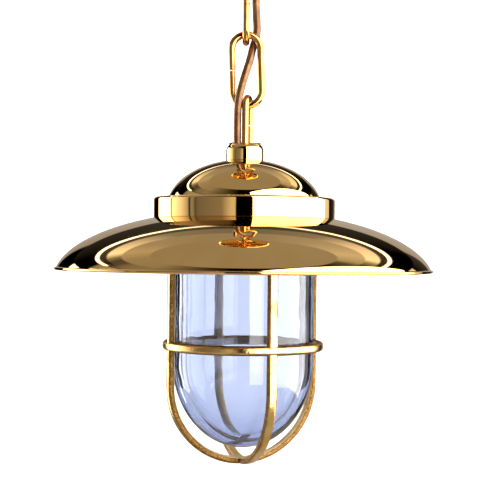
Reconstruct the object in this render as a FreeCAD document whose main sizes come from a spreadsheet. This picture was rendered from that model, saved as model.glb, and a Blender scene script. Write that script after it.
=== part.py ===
import FreeCAD, Part
import math
import os

import Sketcher
from FreeCAD import Placement, Rotation, Vector

# A ship's hanging lantern: a ceiling fitting, three chain links, a domed brass body with a wide spun
# shade, and a glass jar in a cage guard. Millimetres, +Z up. The origin is the centre of the ceiling
# plate's upper face, where the lantern is fixed, and everything hangs below it.

doc = FreeCAD.newDocument("ShipLantern")

# ---------------------------------------------------------------- driving sizes
drivingSizes = [
    ("plateRadius", 38.0),
    ("plateThickness", 4.0),
    ("plateCorner", 2.0),
    ("plateScrewRadius", 2.5),
    ("plateScrewSpacing", 56.0),
    ("bushRadius", 4.6),
    ("bushFlange", 1.5),
    ("bushX", 12.0),
    ("bushY", 9.0),
    ("eyeWire", 5.0),
    ("eyeRadius", 9.5),
    ("eyeDrop", 36.4),
    ("shankRadius", 3.0),
    ("eyeShoulder", 4.5),
    ("eyeShoulderHeight", 2.5),
    ("nutHeight", 2.0),
    ("nutDepth", 2.4),
    ("nutRadius", 5.85),
    ("linkWire", 4.8),
    ("linkLength", 52.0),
    ("linkWidth", 24.0),
    ("linkPlay", 0.25),
    ("linkGap", 0.9),
    ("linkLean", 2.2),
    ("lowerWire", 4.6),
    ("lowerLength", 40.5),
    ("lowerWidth", 16.4),
    ("lowerTurn", 15.0),
    ("cableDiameter", 5.2),
    ("pinDiameter", 3.5),
    ("pinHeight", 10.45),
    ("bossRadius", 12.5),
    ("bossBand", 8.3),
    ("bossDome", 6.0),
    ("mouthRadius", 10.4),
    ("mouthHalf", 7.8),
    ("chamberRadius", 7.5),
    ("registerRadius", 10.0),
    ("registerDepth", 8.0),
    ("spigotRadius", 6.0),
    ("funnelHeight", 3.0),
    ("sealGroove", 0.85),
    ("sealWire", 0.75),
    ("boreRadius", 4.0),
    ("domeRadius", 50.6),
    ("domeHeight", 24.8),
    ("domeFall", 6.7),
    ("domeWall", 1.5),
    ("skirtDepth", 3.5),
    ("domePad", 6.0),
    ("ledgeWidth", 4.5),
    ("collarRadius", 60.5),
    ("collarHeight", 13.7),
    ("collarWall", 10.5),
    ("collarRound", 2.0),
    ("ledgeThickness", 3.0),
    ("shadeRadius", 125.0),
    ("shadeHeight", 35.2),
    ("shadeSheet", 1.0),
    ("shadeFall", 5.9),
    ("rimBead", 1.1),
    ("gasketSheet", 1.0),
    ("bodyHeight", 12.2),
    ("bodyWall", 16.0),
    ("threadRadius", 59.0),
    ("threadPlay", 0.15),
    ("glassGasket", 1.5),
    ("glassRadius", 47.0),
    ("glassWall", 5.0),
    ("glassLip", 5.5),
    ("glassLipWidth", 4.5),
    ("glassStraight", 79.8),
    ("glassBottom", 57.0),
    ("glassFloor", 7.0),
    ("flangeThickness", 4.0),
    ("guardRadius", 53.1),
    ("guardStraight", 89.3),
    ("barWidth", 7.0),
    ("barDepth", 4.8),
    ("barCorner", 0.8),
    ("barTurn", 21.8),
    ("bandDrop", 63.4),
    ("bandHeight", 6.4),
    ("bandDepth", 5.0),
    ("bandProud", 0.6),
    ("ringWall", 5.0),
    ("ringLip", 2.5),
    ("ringHeight", 21.0),
    ("ringGrip", 3.0),
    ("bridgeWidth", 22.0),
    ("bridgeThickness", 2.5),
    ("spigotNutHeight", 4.0),
    ("spigotNutRadius", 11.0),
    ("washerThickness", 1.5),
    ("holderRadius", 22.0),
    ("holderHeight", 26.5),
    ("holderDrop", 14.9),
    ("sleeveRadius", 13.8),
    ("sleeveWall", 0.5),
    ("sleeveHeight", 20.0),
    ("sleeveCrown", 8.0),
    ("tongueLong", 11.0),
    ("tongueWide", 5.0),
    ("tongueSheet", 0.6),
    ("contactRadius", 2.5),
    ("terminalSide", 8.0),
    ("terminalBack", 9.0),
    ("pillarRadius", 3.0),
    ("screwRadius", 1.5),
    ("screwHead", 2.75),
    ("screwHeadHeight", 2.0),
    ("screwSlot", 0.8),
    ("bodyScrewCircle", 54.7),
    ("holderScrewHalf", 17.8),
    ("coreDiameter", 1.8),
    ("screwPlay", 0.2),
    ("slip", 0.1),
]

sheet = doc.addObject("Spreadsheet::Sheet", "Sizes")
for row, (alias, value) in enumerate(drivingSizes, start=1):
    sheet.set(f"A{row}", alias)
    sheet.set(f"B{row}", str(value))
    sheet.setAlias(f"B{row}", alias)
doc.recompute()


class Size:
    """A number together with the sheet formula that gives it, so that both stay the same."""

    def __init__(self, value, formula):
        self.value = float(value)
        self.formula = formula

    def __add__(self, other):
        other = sized(other)
        return Size(self.value + other.value, f"({self.formula} + {other.formula})")

    def __sub__(self, other):
        other = sized(other)
        return Size(self.value - other.value, f"({self.formula} - {other.formula})")

    def __mul__(self, other):
        other = sized(other)
        return Size(self.value * other.value, f"({self.formula} * {other.formula})")

    def __truediv__(self, other):
        other = sized(other)
        return Size(self.value / other.value, f"({self.formula} / {other.formula})")

    def __neg__(self):
        return Size(-self.value, f"(0 - {self.formula})")

    def __radd__(self, other):
        return sized(other) + self

    def __rsub__(self, other):
        return sized(other) - self

    def __rmul__(self, other):
        return sized(other) * self


def sized(number):
    if isinstance(number, Size):
        return number
    return Size(number, f"({float(number)})")


def cell(alias):
    return Size(sheet.get(alias), f"Sizes.{alias}")


def root(size):
    return Size(math.sqrt(size.value), f"sqrt({size.formula})")


def sine(degrees):
    return Size(math.sin(math.radians(degrees.value)), f"sin({degrees.formula})")


def cosine(degrees):
    return Size(math.cos(math.radians(degrees.value)), f"cos({degrees.formula})")


# ---------------------------------------------------------------- ways of making a shape
def bind(item, **sizes):
    for name, size in sizes.items():
        item.setExpression(name, sized(size).formula)


def place(item, x=0, y=0, z=0, rotation=None):
    if rotation is not None:
        item.Placement = Placement(Vector(), rotation)
    for axis, size in (("x", x), ("y", y), ("z", z)):
        item.setExpression(f"Placement.Base.{axis}", sized(size).formula)
    return item


def cylinder(name, radius, length, x=0, y=0, z=0, rotation=None):
    item = doc.addObject("Part::Cylinder", name)
    bind(item, Radius=radius, Height=length)
    return place(item, x, y, z, rotation)


def cone(name, low, high, length, z):
    item = doc.addObject("Part::Cone", name)
    bind(item, Radius1=low, Radius2=high, Height=length)
    return place(item, z=z)


def block(name, long, wide, tall, x=0, y=0, z=0, rotation=None):
    """A box whose own place is the middle of its lower face."""
    item = doc.addObject("Part::Box", name)
    bind(item, Length=long, Width=wide, Height=tall)
    if rotation is None:
        return place(item, sized(x) - sized(long) / 2, sized(y) - sized(wide) / 2, z)
    return place(item, x, y, z, rotation)


def ellipsoid(name, tall, wide, z, start=-90, end=90):
    item = doc.addObject("Part::Ellipsoid", name)
    bind(item, Radius1=tall, Radius2=wide, Radius3=wide)
    item.Angle1 = start
    item.Angle2 = end
    return place(item, z=z)


def torus(name, ring, wire, x=0, y=0, z=0, rotation=None, sweep=360):
    item = doc.addObject("Part::Torus", name)
    bind(item, Radius1=ring, Radius2=wire)
    item.Angle3 = sweep
    return place(item, x, y, z, rotation)


def prism(name, radius, tall, z):
    item = doc.addObject("Part::Prism", name)
    item.Polygon = 6
    bind(item, Circumradius=radius, Height=tall)
    return place(item, z=z)


def fuse(name, *items):
    item = doc.addObject("Part::MultiFuse", name)
    item.Shapes = list(items)
    item.Refine = True
    return item


def cut(name, base, *tools):
    item = doc.addObject("Part::Cut", name)
    item.Base = base
    item.Tool = tools[0] if len(tools) == 1 else fuse(name + "_tools", *tools)
    item.Refine = True
    return item


def common(name, first, second):
    item = doc.addObject("Part::MultiCommon", name)
    item.Shapes = [first, second]
    return item


def originPlane(body, role):
    return next(f for f in body.Origin.OriginFeatures if f.Role == role)


def sketchOn(body, role, name):
    sketch = body.newObject("Sketcher::SketchObject", name)
    sketch.AttachmentSupport = [(originPlane(body, role), "")]
    sketch.MapMode = "FlatFace"
    return sketch


def dimension(sketch, kind, geometry, point, size):
    """Ties one coordinate of a point to the sheet, measured from the sketch's origin."""
    if sized(size).value == 0:
        axis = -2 if kind == "DistanceX" else -1
        sketch.addConstraint(Sketcher.Constraint("PointOnObject", geometry, point, axis))
        return
    number = sketch.addConstraint(Sketcher.Constraint(kind, -1, 1, geometry, point, size.value))
    sketch.setExpression(f"Constraints[{number}]", size.formula)


def closedOutline(sketch, corners):
    """A closed outline of straight lines through (across, up) corners, each tied to the sheet."""
    flat = [(sized(a), sized(b)) for a, b in corners]
    points = [Vector(a.value, b.value, 0) for a, b in flat]
    for start, end in zip(points, points[1:] + points[:1]):
        sketch.addGeometry(Part.LineSegment(start, end), False)
    for index, (across, up) in enumerate(flat):
        before = (index - 1) % len(flat)
        sketch.addConstraint(Sketcher.Constraint("Coincident", before, 2, index, 1))
        dimension(sketch, "DistanceX", index, 1, across)
        dimension(sketch, "DistanceY", index, 1, up)


def turnedSolid(body, name, corners):
    sketch = sketchOn(body, "XZ_Plane", name + "_outline")
    closedOutline(sketch, corners)
    turn = body.newObject("PartDesign::Revolution", name + "_turn")
    turn.Profile = sketch
    turn.ReferenceAxis = (sketch, ["V_Axis"])
    turn.Angle = 360
    return turn


def turned(name, corners, z):
    """A piece made on the lathe: its half outline as (radius, height) above its own foot level."""
    body = doc.addObject("PartDesign::Body", name)
    turnedSolid(body, name, corners)
    place(body, z=z)
    return body


def roundEdge(body, radius, height, size):
    """Rounds the circular edge of that radius at that height of a turned body."""
    doc.recompute()
    base = body.Tip
    found = [
        f"Edge{number}"
        for number, edge in enumerate(base.Shape.Edges, start=1)
        if isinstance(edge.Curve, Part.Circle)
        and abs(edge.Curve.Radius - radius.value) < 0.01
        and abs(edge.CenterOfMass.z - height.value) < 0.01
    ]
    fillet = body.newObject("PartDesign::Fillet", body.Name + "_round")
    fillet.Base = (base, found)
    bind(fillet, Radius=size)
    body.Tip = fillet


def roundHole(body, radius, depth, x, y, count, side):
    """A round hole, or a ring of them, from the body's own foot plane upwards."""
    sketch = sketchOn(body, "XY_Plane", f"{body.Name}_{side}")
    circle = sketch.addGeometry(Part.Circle(Vector(sized(x).value, sized(y).value, 0), Vector(0, 0, 1), 1))
    dimension(sketch, "DistanceX", circle, 3, sized(x))
    dimension(sketch, "DistanceY", circle, 3, sized(y))
    number = sketch.addConstraint(Sketcher.Constraint("Radius", circle, sized(radius).value))
    sketch.setExpression(f"Constraints[{number}]", sized(radius).formula)
    pocket = body.newObject("PartDesign::Pocket", f"{body.Name}_{side}_cut")
    pocket.Profile = sketch
    pocket.Reversed = True
    bind(pocket, Length=depth)
    if count > 1:
        pattern = body.newObject("PartDesign::PolarPattern", f"{body.Name}_{side}_pattern")
        pattern.Originals = [pocket]
        pattern.Axis = (sketch, ["N_Axis"])
        pattern.Angle = 360
        pattern.Occurrences = count
        body.Tip = pattern


# ---------------------------------------------------------------- levels, from the ceiling down
wire = cell("linkWire")
play = cell("linkPlay")
lowerWire = cell("lowerWire")
slip = cell("slip")
screwPlay = cell("screwPlay")
beyond = 1.0  # how far a cutting tool runs past the face it cuts
spigotProud = 1.0
screwReach = 6.0  # how far the body screws go into the collar
shadeProud = 0.5  # the flat of the shade shows this much outside the collar
sealRing = cell("registerRadius") + 1.2

plateFoot = -cell("plateThickness")
eyeLow = plateFoot - cell("eyeDrop")
upperTop = eyeLow + (cell("eyeWire") + wire) / 2 + play
upperLow = upperTop - (cell("linkLength") - wire)
middleHang = cell("linkLength") - 2 * wire - play
middleLow = upperLow - middleHang * cosine(cell("linkLean"))
lowerX = middleHang * sine(cell("linkLean"))
lowerTop = middleLow + (wire + lowerWire) / 2 + play
lowerLow = lowerTop - (cell("lowerLength") - lowerWire)
pinLevel = lowerLow + (lowerWire + cell("pinDiameter")) / 2 + play
bossFoot = pinLevel - cell("pinHeight")
collarTop = bossFoot - cell("domeHeight")
collarFoot = collarTop - cell("collarHeight")
rimLevel = collarFoot - cell("shadeHeight")
bodyTop = collarFoot - cell("shadeSheet") - cell("gasketSheet")
bodyFoot = bodyTop - cell("bodyHeight")
glassTop = bodyFoot - cell("glassGasket")
flangeTop = glassTop - cell("glassLip")
flangeFoot = flangeTop - cell("flangeThickness")
ledgeTop = collarTop - cell("skirtDepth")
ledgeFoot = ledgeTop - cell("ledgeThickness")
bridgeFoot = ledgeFoot - cell("bridgeThickness")
nutTop = bridgeFoot - cell("washerThickness")
spigotEnd = nutTop - cell("spigotNutHeight") - spigotProud
holderTop = bridgeFoot - cell("holderDrop")
holderFoot = holderTop - cell("holderHeight")

socketDepth = cell("sleeveHeight") + 1.5
terminalDepth = 5.0
earthX = cell("holderScrewHalf") * 1.7
onItsSide = Rotation(Vector(1, 0, 0), 90)


# ---------------------------------------------------------------- ceiling fitting
def ceilingPlate():
    thickness = cell("plateThickness")
    radius = cell("plateRadius")
    corner = cell("plateCorner")
    name = "ceiling_plate"
    disc = turned(
        name + "_disc",
        [(0, 0), (radius - corner, 0), (radius, corner), (radius, thickness), (0, thickness)],
        plateFoot,
    )
    half = cell("plateScrewSpacing") / 2
    low = plateFoot - beyond
    through = thickness + 2 * beyond
    recess = cell("nutDepth")
    holes = [
        cylinder(name + "_shank_hole", cell("shankRadius") + slip, through, z=low),
        cylinder(name + "_nut_recess", cell("nutRadius") + 0.45, recess + beyond, z=-recess),
        cylinder(name + "_bush_hole", cell("bushRadius"), through, cell("bushX"), cell("bushY"), low),
        cylinder(name + "_screw_left", cell("plateScrewRadius"), through, -half, 0, low),
        cylinder(name + "_screw_right", cell("plateScrewRadius"), through, half, 0, low),
    ]
    return cut(name, disc, *holes)


def ceilingEye():
    name = "ceiling_eye"
    ring = cell("eyeRadius")
    centre = eyeLow + ring
    shankFoot = centre + ring
    shoulder = cell("eyeShoulderHeight")
    return fuse(
        name,
        torus(name + "_loop", ring, cell("eyeWire") / 2, z=centre, rotation=onItsSide),
        cylinder(name + "_neck", cell("eyeWire") / 2, plateFoot - shankFoot, z=shankFoot),
        cylinder(name + "_shoulder", cell("eyeShoulder"), shoulder, z=plateFoot - shoulder),
        cylinder(name + "_shank", cell("shankRadius"), cell("plateThickness") - 3 * slip, z=plateFoot),
    )


def eyeNut():
    name = "eye_nut"
    tall = cell("nutHeight")
    low = -cell("nutDepth")
    body = prism(name + "_hexagon", cell("nutRadius"), tall, low)
    hole = cylinder(name + "_hole", cell("shankRadius") + slip / 5, tall + 2 * beyond, z=low - beyond)
    return cut(name, body, hole)


def cableBush():
    """A flanged rubber bush that lines the plate's cable hole."""
    name = "cable_bush"
    outside = cell("bushRadius") - slip / 2
    inside = cell("cableDiameter") / 2 + slip
    flange = cell("bushFlange")
    top = flange + cell("plateThickness") - 3 * slip
    item = turned(
        name,
        [
            (inside, 0),
            (outside + flange, 0),
            (outside + flange, flange),
            (outside, flange),
            (outside, top),
            (inside, top),
        ],
        plateFoot - flange,
    )
    return place(item, cell("bushX"), cell("bushY"), plateFoot - flange)


# ---------------------------------------------------------------- chain
def linkShape(name, length, width, thick, gapSide):
    """An upright link in the XZ plane, its centre at the origin, closed by a butt joint in one side."""
    half = thick / 2
    bend = (width - thick) / 2
    straight = length - width
    parts = [
        torus(name + "_top", bend, half, z=straight / 2, rotation=onItsSide, sweep=180),
        torus(
            name + "_bottom",
            bend,
            half,
            z=-straight / 2,
            rotation=Rotation(Vector(0, 1, 0), 180).multiply(onItsSide),
            sweep=180,
        ),
        cylinder(name + "_left", half, straight, -bend, 0, -straight / 2),
        cylinder(name + "_right", half, straight, bend, 0, -straight / 2),
    ]
    gap = cell("linkGap")
    joint = block(name + "_joint", thick * 1.5, thick * 1.5, gap, gapSide * bend, 0, -gap / 2)
    return cut(name, fuse(name + "_wire", *parts), joint)


def chainLinks():
    length = cell("linkLength")
    width = cell("linkWidth")
    upper = linkShape("chain_link_upper", length, width, wire, 1)
    place(upper, z=upperTop + wire / 2 - length / 2, rotation=Rotation(Vector(0, 0, 1), -90))

    # the middle link leans about the upper link's lowest wire, so it still hangs on it
    middle = linkShape("chain_link_middle", length, width, wire, -1)
    centre = middleHang - (length - wire) / 2
    place(
        middle,
        x=centre * sine(cell("linkLean")),
        z=upperLow - centre * cosine(cell("linkLean")),
        rotation=Rotation(Vector(0, 1, 0), -cell("linkLean").value),
    )

    lower = linkShape("chain_link_lower", cell("lowerLength"), cell("lowerWidth"), lowerWire, 1)
    place(
        lower,
        x=lowerX,
        z=lowerTop + lowerWire / 2 - cell("lowerLength") / 2,
        rotation=Rotation(Vector(0, 0, 1), 90 - cell("lowerTurn").value),
    )
    return [upper, middle, lower]


# ---------------------------------------------------------------- suspension boss and stem
def suspensionBoss():
    name = "suspension_boss"
    radius = cell("bossRadius")
    band = cell("bossBand")
    height = band + cell("bossDome")
    depth = cell("registerDepth")
    spigot = bossFoot - depth - spigotEnd
    solid = fuse(
        name + "_solid",
        cylinder(name + "_band", radius, band, z=bossFoot),
        ellipsoid(name + "_dome", cell("bossDome"), radius, bossFoot + band, 0, 90),
        cylinder(name + "_register", cell("registerRadius"), depth, z=bossFoot - depth),
        cylinder(name + "_spigot", cell("spigotRadius"), bossFoot - spigotEnd, z=spigotEnd),
    )
    funnel = cell("funnelHeight")
    chamberFoot = bossFoot - depth / 2
    mouthFoot = bossFoot + 1
    mouth = common(
        name + "_mouth",
        cylinder(name + "_mouth_round", cell("mouthRadius"), height, z=mouthFoot),
        block(name + "_mouth_flat", 2 * cell("mouthHalf"), 2 * radius, height, z=mouthFoot),
    )
    pinHole = cylinder(
        name + "_pin_hole",
        cell("pinDiameter") / 2,
        2 * (radius + beyond),
        -radius - beyond,
        0,
        pinLevel,
        Rotation(Vector(0, 1, 0), 90),
    )
    return cut(
        name,
        solid,
        mouth,
        pinHole,
        cylinder(name + "_chamber", cell("chamberRadius"), depth / 2 + 1.5, z=chamberFoot),
        cone(name + "_funnel", cell("boreRadius"), cell("chamberRadius"), funnel, chamberFoot - funnel),
        cylinder(name + "_bore", cell("boreRadius"), depth + spigot + beyond, z=spigotEnd - beyond),
        torus(name + "_seal_groove", sealRing, cell("sealGroove"), z=bossFoot),
    )


def bossPin():
    """The pin that the lowest link carries, pressed through the boss."""
    name = "boss_pin"
    reach = root(cell("bossRadius") * cell("bossRadius") - cell("pinDiameter") * cell("pinDiameter") / 4)
    length = 2 * (reach - 3 * slip)
    turn = Rotation(Vector(0, 1, 0), 90)
    return cylinder(name, cell("pinDiameter") / 2 - slip / 10, length, -length / 2, 0, pinLevel, turn)


def bossSeal():
    name = "boss_seal_ring"
    whole = torus(name + "_round", sealRing, cell("sealWire"), z=bossFoot)
    keep = cylinder(name + "_keep", cell("bossRadius"), 2, z=bossFoot)
    return common(name, whole, keep)


def spigotWasher():
    name = "spigot_washer"
    thick = cell("washerThickness")
    low = bridgeFoot - thick
    body = cylinder(name + "_disc", cell("spigotNutRadius"), thick, z=low)
    hole = cylinder(name + "_hole", cell("spigotRadius") + slip, thick + 2 * beyond, z=low - beyond)
    return cut(name, body, hole)


def spigotNut():
    name = "spigot_nut"
    tall = cell("spigotNutHeight")
    low = nutTop - tall
    body = prism(name + "_hexagon", cell("spigotNutRadius"), tall, low)
    hole = cylinder(name + "_hole", cell("spigotRadius") + slip / 5, tall + 2 * beyond, z=low - beyond)
    return cut(name, body, hole)


# ---------------------------------------------------------------- dome, collar and shade
def domeCap():
    name = "dome_cap"
    radius = cell("domeRadius")
    wall = cell("domeWall")
    skirt = cell("skirtDepth")
    flat = cell("bossRadius") + slip
    # the ellipse's centre lies below the dome's foot: it passes through the foot and the flat top's edge
    fall = cell("domeFall")
    high = cell("domeHeight") + fall
    share = radius * radius * high * high - flat * flat * fall * fall
    wide = root(share / (high * high - fall * fall))
    full = root(share / (radius * radius - flat * flat))
    centre = collarTop - fall
    shell = cut(
        name + "_shell",
        ellipsoid(name + "_outside", full, wide, centre, 0, 90),
        ellipsoid(name + "_inside", full - wall, wide - wall, centre, 0, 90),
        cylinder(name + "_seat", radius, full, z=bossFoot),
        cylinder(name + "_below", wide + beyond, fall, z=centre),
    )
    floor = cylinder(name + "_floor", flat + cell("domePad"), wall, z=bossFoot - wall)
    inTop = common(name + "_pad", floor, ellipsoid(name + "_pad_limit", full, wide, centre, 0, 90))
    skirt = cut(
        name + "_skirt",
        cylinder(name + "_skirt_outside", radius - slip, skirt - slip, z=ledgeTop + slip),
        cylinder(name + "_skirt_inside", radius - wall, skirt + 2 * beyond, z=ledgeTop - beyond),
    )
    hole = cylinder(name + "_hole", cell("registerRadius") + slip, 6 * wall, z=bossFoot - 3 * wall)
    return cut(name, fuse(name + "_solid", shell, inTop, skirt), hole)


def collarRing():
    name = "collar_ring"
    outside = cell("collarRadius")
    inside = outside - cell("collarWall")
    height = cell("collarHeight")
    top = height
    step = height - cell("skirtDepth")
    under = step - cell("ledgeThickness")
    seat = cell("domeRadius")
    ledge = seat - cell("ledgeWidth")
    body = turned(
        name,
        [
            (inside, 0),
            (outside, 0),
            (outside, top),
            (seat, top),
            (seat, step),
            (ledge, step),
            (ledge, under),
            (inside, under),
        ],
        collarFoot,
    )
    roundEdge(body, outside, top, cell("collarRound"))
    depth = screwReach + 5 * slip
    roundHole(body, cell("screwRadius") - slip / 10, depth, cell("bodyScrewCircle"), 0, 3, "screw_holes")
    return body


def shade():
    """A spun shade: a flat seat under the collar, an elliptic fall and a beaded rim."""
    name = "shade"
    sheetThick = cell("shadeSheet")
    radius = cell("shadeRadius")
    fall = cell("shadeFall")
    meet = cell("collarRadius") + shadeProud
    rise = cell("shadeHeight") + fall
    # the ellipse passes through the rim and through the collar's edge
    wide = radius + 1.0
    tall = rise / root(1 - meet * meet / (wide * wide))
    centre = rimLevel - fall
    curved = cut(
        name + "_curve",
        ellipsoid(name + "_outside", tall, wide, centre, 0, 90),
        ellipsoid(name + "_inside", tall - sheetThick, wide - sheetThick, centre, 0, 90),
        cylinder(name + "_above", wide, tall, z=collarFoot),
        cylinder(name + "_below", wide + beyond, fall, z=centre),
        cylinder(name + "_middle", meet - beyond, tall, z=centre),
    )
    seatInside = cell("collarRadius") - cell("collarWall")
    seatFoot = collarFoot - sheetThick
    seat = cut(
        name + "_seat",
        cylinder(name + "_seat_disc", meet + shadeProud, sheetThick, z=seatFoot),
        cylinder(name + "_seat_hole", seatInside, sheetThick + 2 * beyond, z=seatFoot - beyond),
    )
    bead = cell("rimBead")
    atRim = wide * root(1 - fall * fall / (tall * tall)) - sheetThick / 2
    rim = torus(name + "_rim_bead", atRim, bead, z=rimLevel + bead)
    return cut(name, fuse(name + "_solid", curved, seat, rim), *screwHoles(name))


def screwHoles(name):
    circle = cell("bodyScrewCircle")
    holes = []
    for number in range(3):
        angle = math.radians(120 * number)
        holes.append(
            cylinder(
                f"{name}_screw_hole_{number}",
                cell("screwRadius") + screwPlay,
                screwReach + 2,
                circle * math.cos(angle),
                circle * math.sin(angle),
                collarFoot - screwReach,
            )
        )
    return holes


def shadeGasket():
    name = "shade_gasket"
    thick = cell("gasketSheet")
    inside = cell("collarRadius") - cell("collarWall")
    ring = cut(
        name + "_ring",
        cylinder(name + "_outside", cell("threadRadius"), thick, z=bodyTop),
        cylinder(name + "_inside", inside, thick + 2 * beyond, z=bodyTop - beyond),
    )
    return cut(name, ring, *screwHoles(name))


# ---------------------------------------------------------------- body ring, glass and guard
def bodyRing():
    name = "body_ring"
    outside = cell("threadRadius")
    inside = outside - cell("bodyWall")
    height = cell("bodyHeight")
    body = turned(
        name,
        [(inside, 0), (outside, 0), (outside, height), (inside, height)],
        bodyFoot,
    )
    circle = cell("bodyScrewCircle")
    roundHole(body, cell("screwRadius") + screwPlay, height, circle, 0, 3, "screw_holes")
    roundHole(body, cell("screwHead") + screwPlay, height / 2, circle, 0, 3, "head_recesses")
    return body


def bodyScrews():
    """Three screws from below that clamp the shade between the body ring and the collar."""
    name = "body_screws"
    circle = cell("bodyScrewCircle")
    seat = bodyFoot + cell("bodyHeight") / 2
    screws = []
    for number in range(3):
        angle = math.radians(120 * number)
        x = circle * math.cos(angle)
        y = circle * math.sin(angle)
        screws.append(slottedScrew(f"{name}_{number}", x, y, seat, collarFoot + screwReach))
    return compound(name, screws)


def slottedScrew(name, x, y, seat, end):
    """A cheese-head screw put in from below, its head under the seat level."""
    tall = cell("screwHeadHeight")
    radius = cell("screwHead")
    head = cylinder(name + "_head", radius, tall, x, y, seat - tall)
    shank = cylinder(name + "_shank", cell("screwRadius") - 0.3 * slip, end - seat, x, y, seat)
    slot = block(name + "_slot", 3 * radius, cell("screwSlot"), tall / 2, x, y, seat - tall - slip)
    return cut(name, fuse(name + "_solid", head, shank), slot)


def compound(name, items):
    item = doc.addObject("Part::Compound", name)
    item.Links = items
    return item


def glassGasket():
    inside = cell("glassRadius") - cell("glassWall") + 1
    outside = cell("glassRadius") + cell("glassLipWidth")
    thick = cell("glassGasket")
    corners = [(inside, 0), (outside, 0), (outside, thick), (inside, thick)]
    return turned("glass_gasket", corners, glassTop)


def glassJar():
    """A pressed glass jar: a flanged mouth, straight sides and a rounded bottom."""
    name = "glass_jar"
    radius = cell("glassRadius")
    wall = cell("glassWall")
    shoulder = glassTop - cell("glassStraight")
    straight = cell("glassStraight")
    bottom = cell("glassBottom")
    outside = fuse(
        name + "_outside",
        cylinder(name + "_side", radius, straight, z=shoulder),
        ellipsoid(name + "_bottom", bottom, radius, shoulder, -90, 0),
        cylinder(name + "_lip", radius + cell("glassLipWidth"), cell("glassLip"), z=flangeTop),
    )
    return cut(
        name,
        outside,
        cylinder(name + "_bore", radius - wall, straight + beyond, z=shoulder),
        ellipsoid(name + "_hollow", bottom - cell("glassFloor"), radius - wall, shoulder, -90, 0),
    )


def cageGuard():
    """The cast guard: a flange, four bars that meet under the glass, and a band round them."""
    name = "cage_guard"
    radius = cell("guardRadius")
    deep = cell("barDepth")
    wide = cell("barWidth")
    drop = cell("guardStraight")
    centreline = radius - deep / 2
    body = doc.addObject("PartDesign::Body", name)

    section = sketchOn(body, "XY_Plane", name + "_bar_section")
    # small corners next to the glass, wide ones on the face that a hand meets
    inner = radius - deep
    corner = cell("barCorner")
    crown = deep * 0.45
    half = wide / 2
    corners = [
        (inner, corner - half),
        (inner + corner, -half),
        (radius - crown, -half),
        (radius - 0.35 * crown, 0.45 * crown - half),
        (radius, crown - half),
        (radius, half - crown),
        (radius - 0.35 * crown, half - 0.45 * crown),
        (radius - crown, half),
        (inner + corner, half),
        (inner, half - corner),
    ]
    closedOutline(section, corners)

    path = sketchOn(body, "XZ_Plane", name + "_bar_path")
    bend = Vector(centreline.value, -drop.value, 0)
    down = path.addGeometry(Part.LineSegment(Vector(centreline.value, 0, 0), bend))
    arc = path.addGeometry(
        Part.ArcOfCircle(
            Part.Circle(Vector(0, -drop.value, 0), Vector(0, 0, 1), centreline.value),
            -math.pi / 2,
            0,
        )
    )
    dimension(path, "DistanceX", down, 1, centreline)
    dimension(path, "DistanceY", down, 1, sized(0))
    dimension(path, "DistanceX", down, 2, centreline)
    dimension(path, "DistanceY", down, 2, -drop)
    path.addConstraint(Sketcher.Constraint("Coincident", down, 2, arc, 2))
    path.addConstraint(Sketcher.Constraint("PointOnObject", arc, 3, -2))
    path.addConstraint(Sketcher.Constraint("PointOnObject", arc, 1, -2))
    dimension(path, "DistanceY", arc, 3, -drop)

    bar = body.newObject("PartDesign::AdditivePipe", name + "_bar")
    bar.Profile = section
    bar.Spine = (path, ["Edge1", "Edge2"])
    bars = body.newObject("PartDesign::PolarPattern", name + "_bars")
    bars.Originals = [bar]
    bars.Axis = (section, ["N_Axis"])
    bars.Angle = 360
    bars.Occurrences = 4
    body.Tip = bars

    flange = cell("flangeThickness")
    bore = cell("glassRadius") + 1
    rim = cell("threadRadius") - 3 * slip
    turnedSolid(body, name + "_flange", [(bore, -flange), (rim, -flange), (rim, 0), (bore, 0)])
    outer = radius + cell("bandProud")
    depth = cell("bandDepth")
    half = cell("bandHeight") / 2
    low = -cell("bandDrop")
    turnedSolid(
        body,
        name + "_band",
        [
            (outer - depth, low - half + corner),
            (outer - depth + corner, low - half),
            (outer - 0.45 * depth, low - half),
            (outer - 0.12 * depth, low - 0.6 * half),
            (outer, low - 0.2 * half),
            (outer, low + 0.2 * half),
            (outer - 0.12 * depth, low + 0.6 * half),
            (outer - 0.45 * depth, low + half),
            (outer - depth + corner, low + half),
            (outer - depth, low + half - corner),
        ],
    )
    body.Placement = Placement(Vector(), Rotation(Vector(0, 0, 1), -90 + cell("barTurn").value))
    body.setExpression("Placement.Base.z", flangeTop.formula)
    return body


def retainingRing():
    """The hand-turned ring that draws the guard and the glass up on the body ring's thread."""
    name = "guard_retaining_ring"
    bore = cell("threadRadius") + cell("threadPlay")
    outside = bore + cell("ringWall")
    lip = cell("ringLip")
    height = cell("ringHeight")
    mouth = cell("guardRadius") + 1
    corners = [(mouth, 0), (outside, 0), (outside, height), (bore, height), (bore, lip), (mouth, lip)]
    body = turned(name, corners, flangeFoot - lip)
    roundHole(body, cell("ringGrip"), height, outside + cell("ringGrip") * 0.55, 0, 24, "grips")
    return body


# ---------------------------------------------------------------- bridge and lampholder
def bridgeBar():
    name = "bridge_bar"
    thick = cell("bridgeThickness")
    reach = cell("collarRadius") - cell("collarWall") - 4 * slip
    bar = common(
        name + "_bar",
        cylinder(name + "_limit", reach, thick, z=bridgeFoot),
        block(name + "_strip", 2 * reach, cell("bridgeWidth"), thick, z=bridgeFoot),
    )
    half = cell("holderScrewHalf")
    low = bridgeFoot - beyond
    through = thick + 2 * beyond
    return cut(
        name,
        bar,
        cylinder(name + "_stem_hole", cell("spigotRadius") + slip, through, z=low),
        cylinder(name + "_left_hole", cell("screwRadius"), through, -half, 0, low),
        cylinder(name + "_right_hole", cell("screwRadius"), through, half, 0, low),
        cylinder(name + "_earth_hole", cell("screwRadius"), through, earthX, 0, low),
    )


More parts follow.
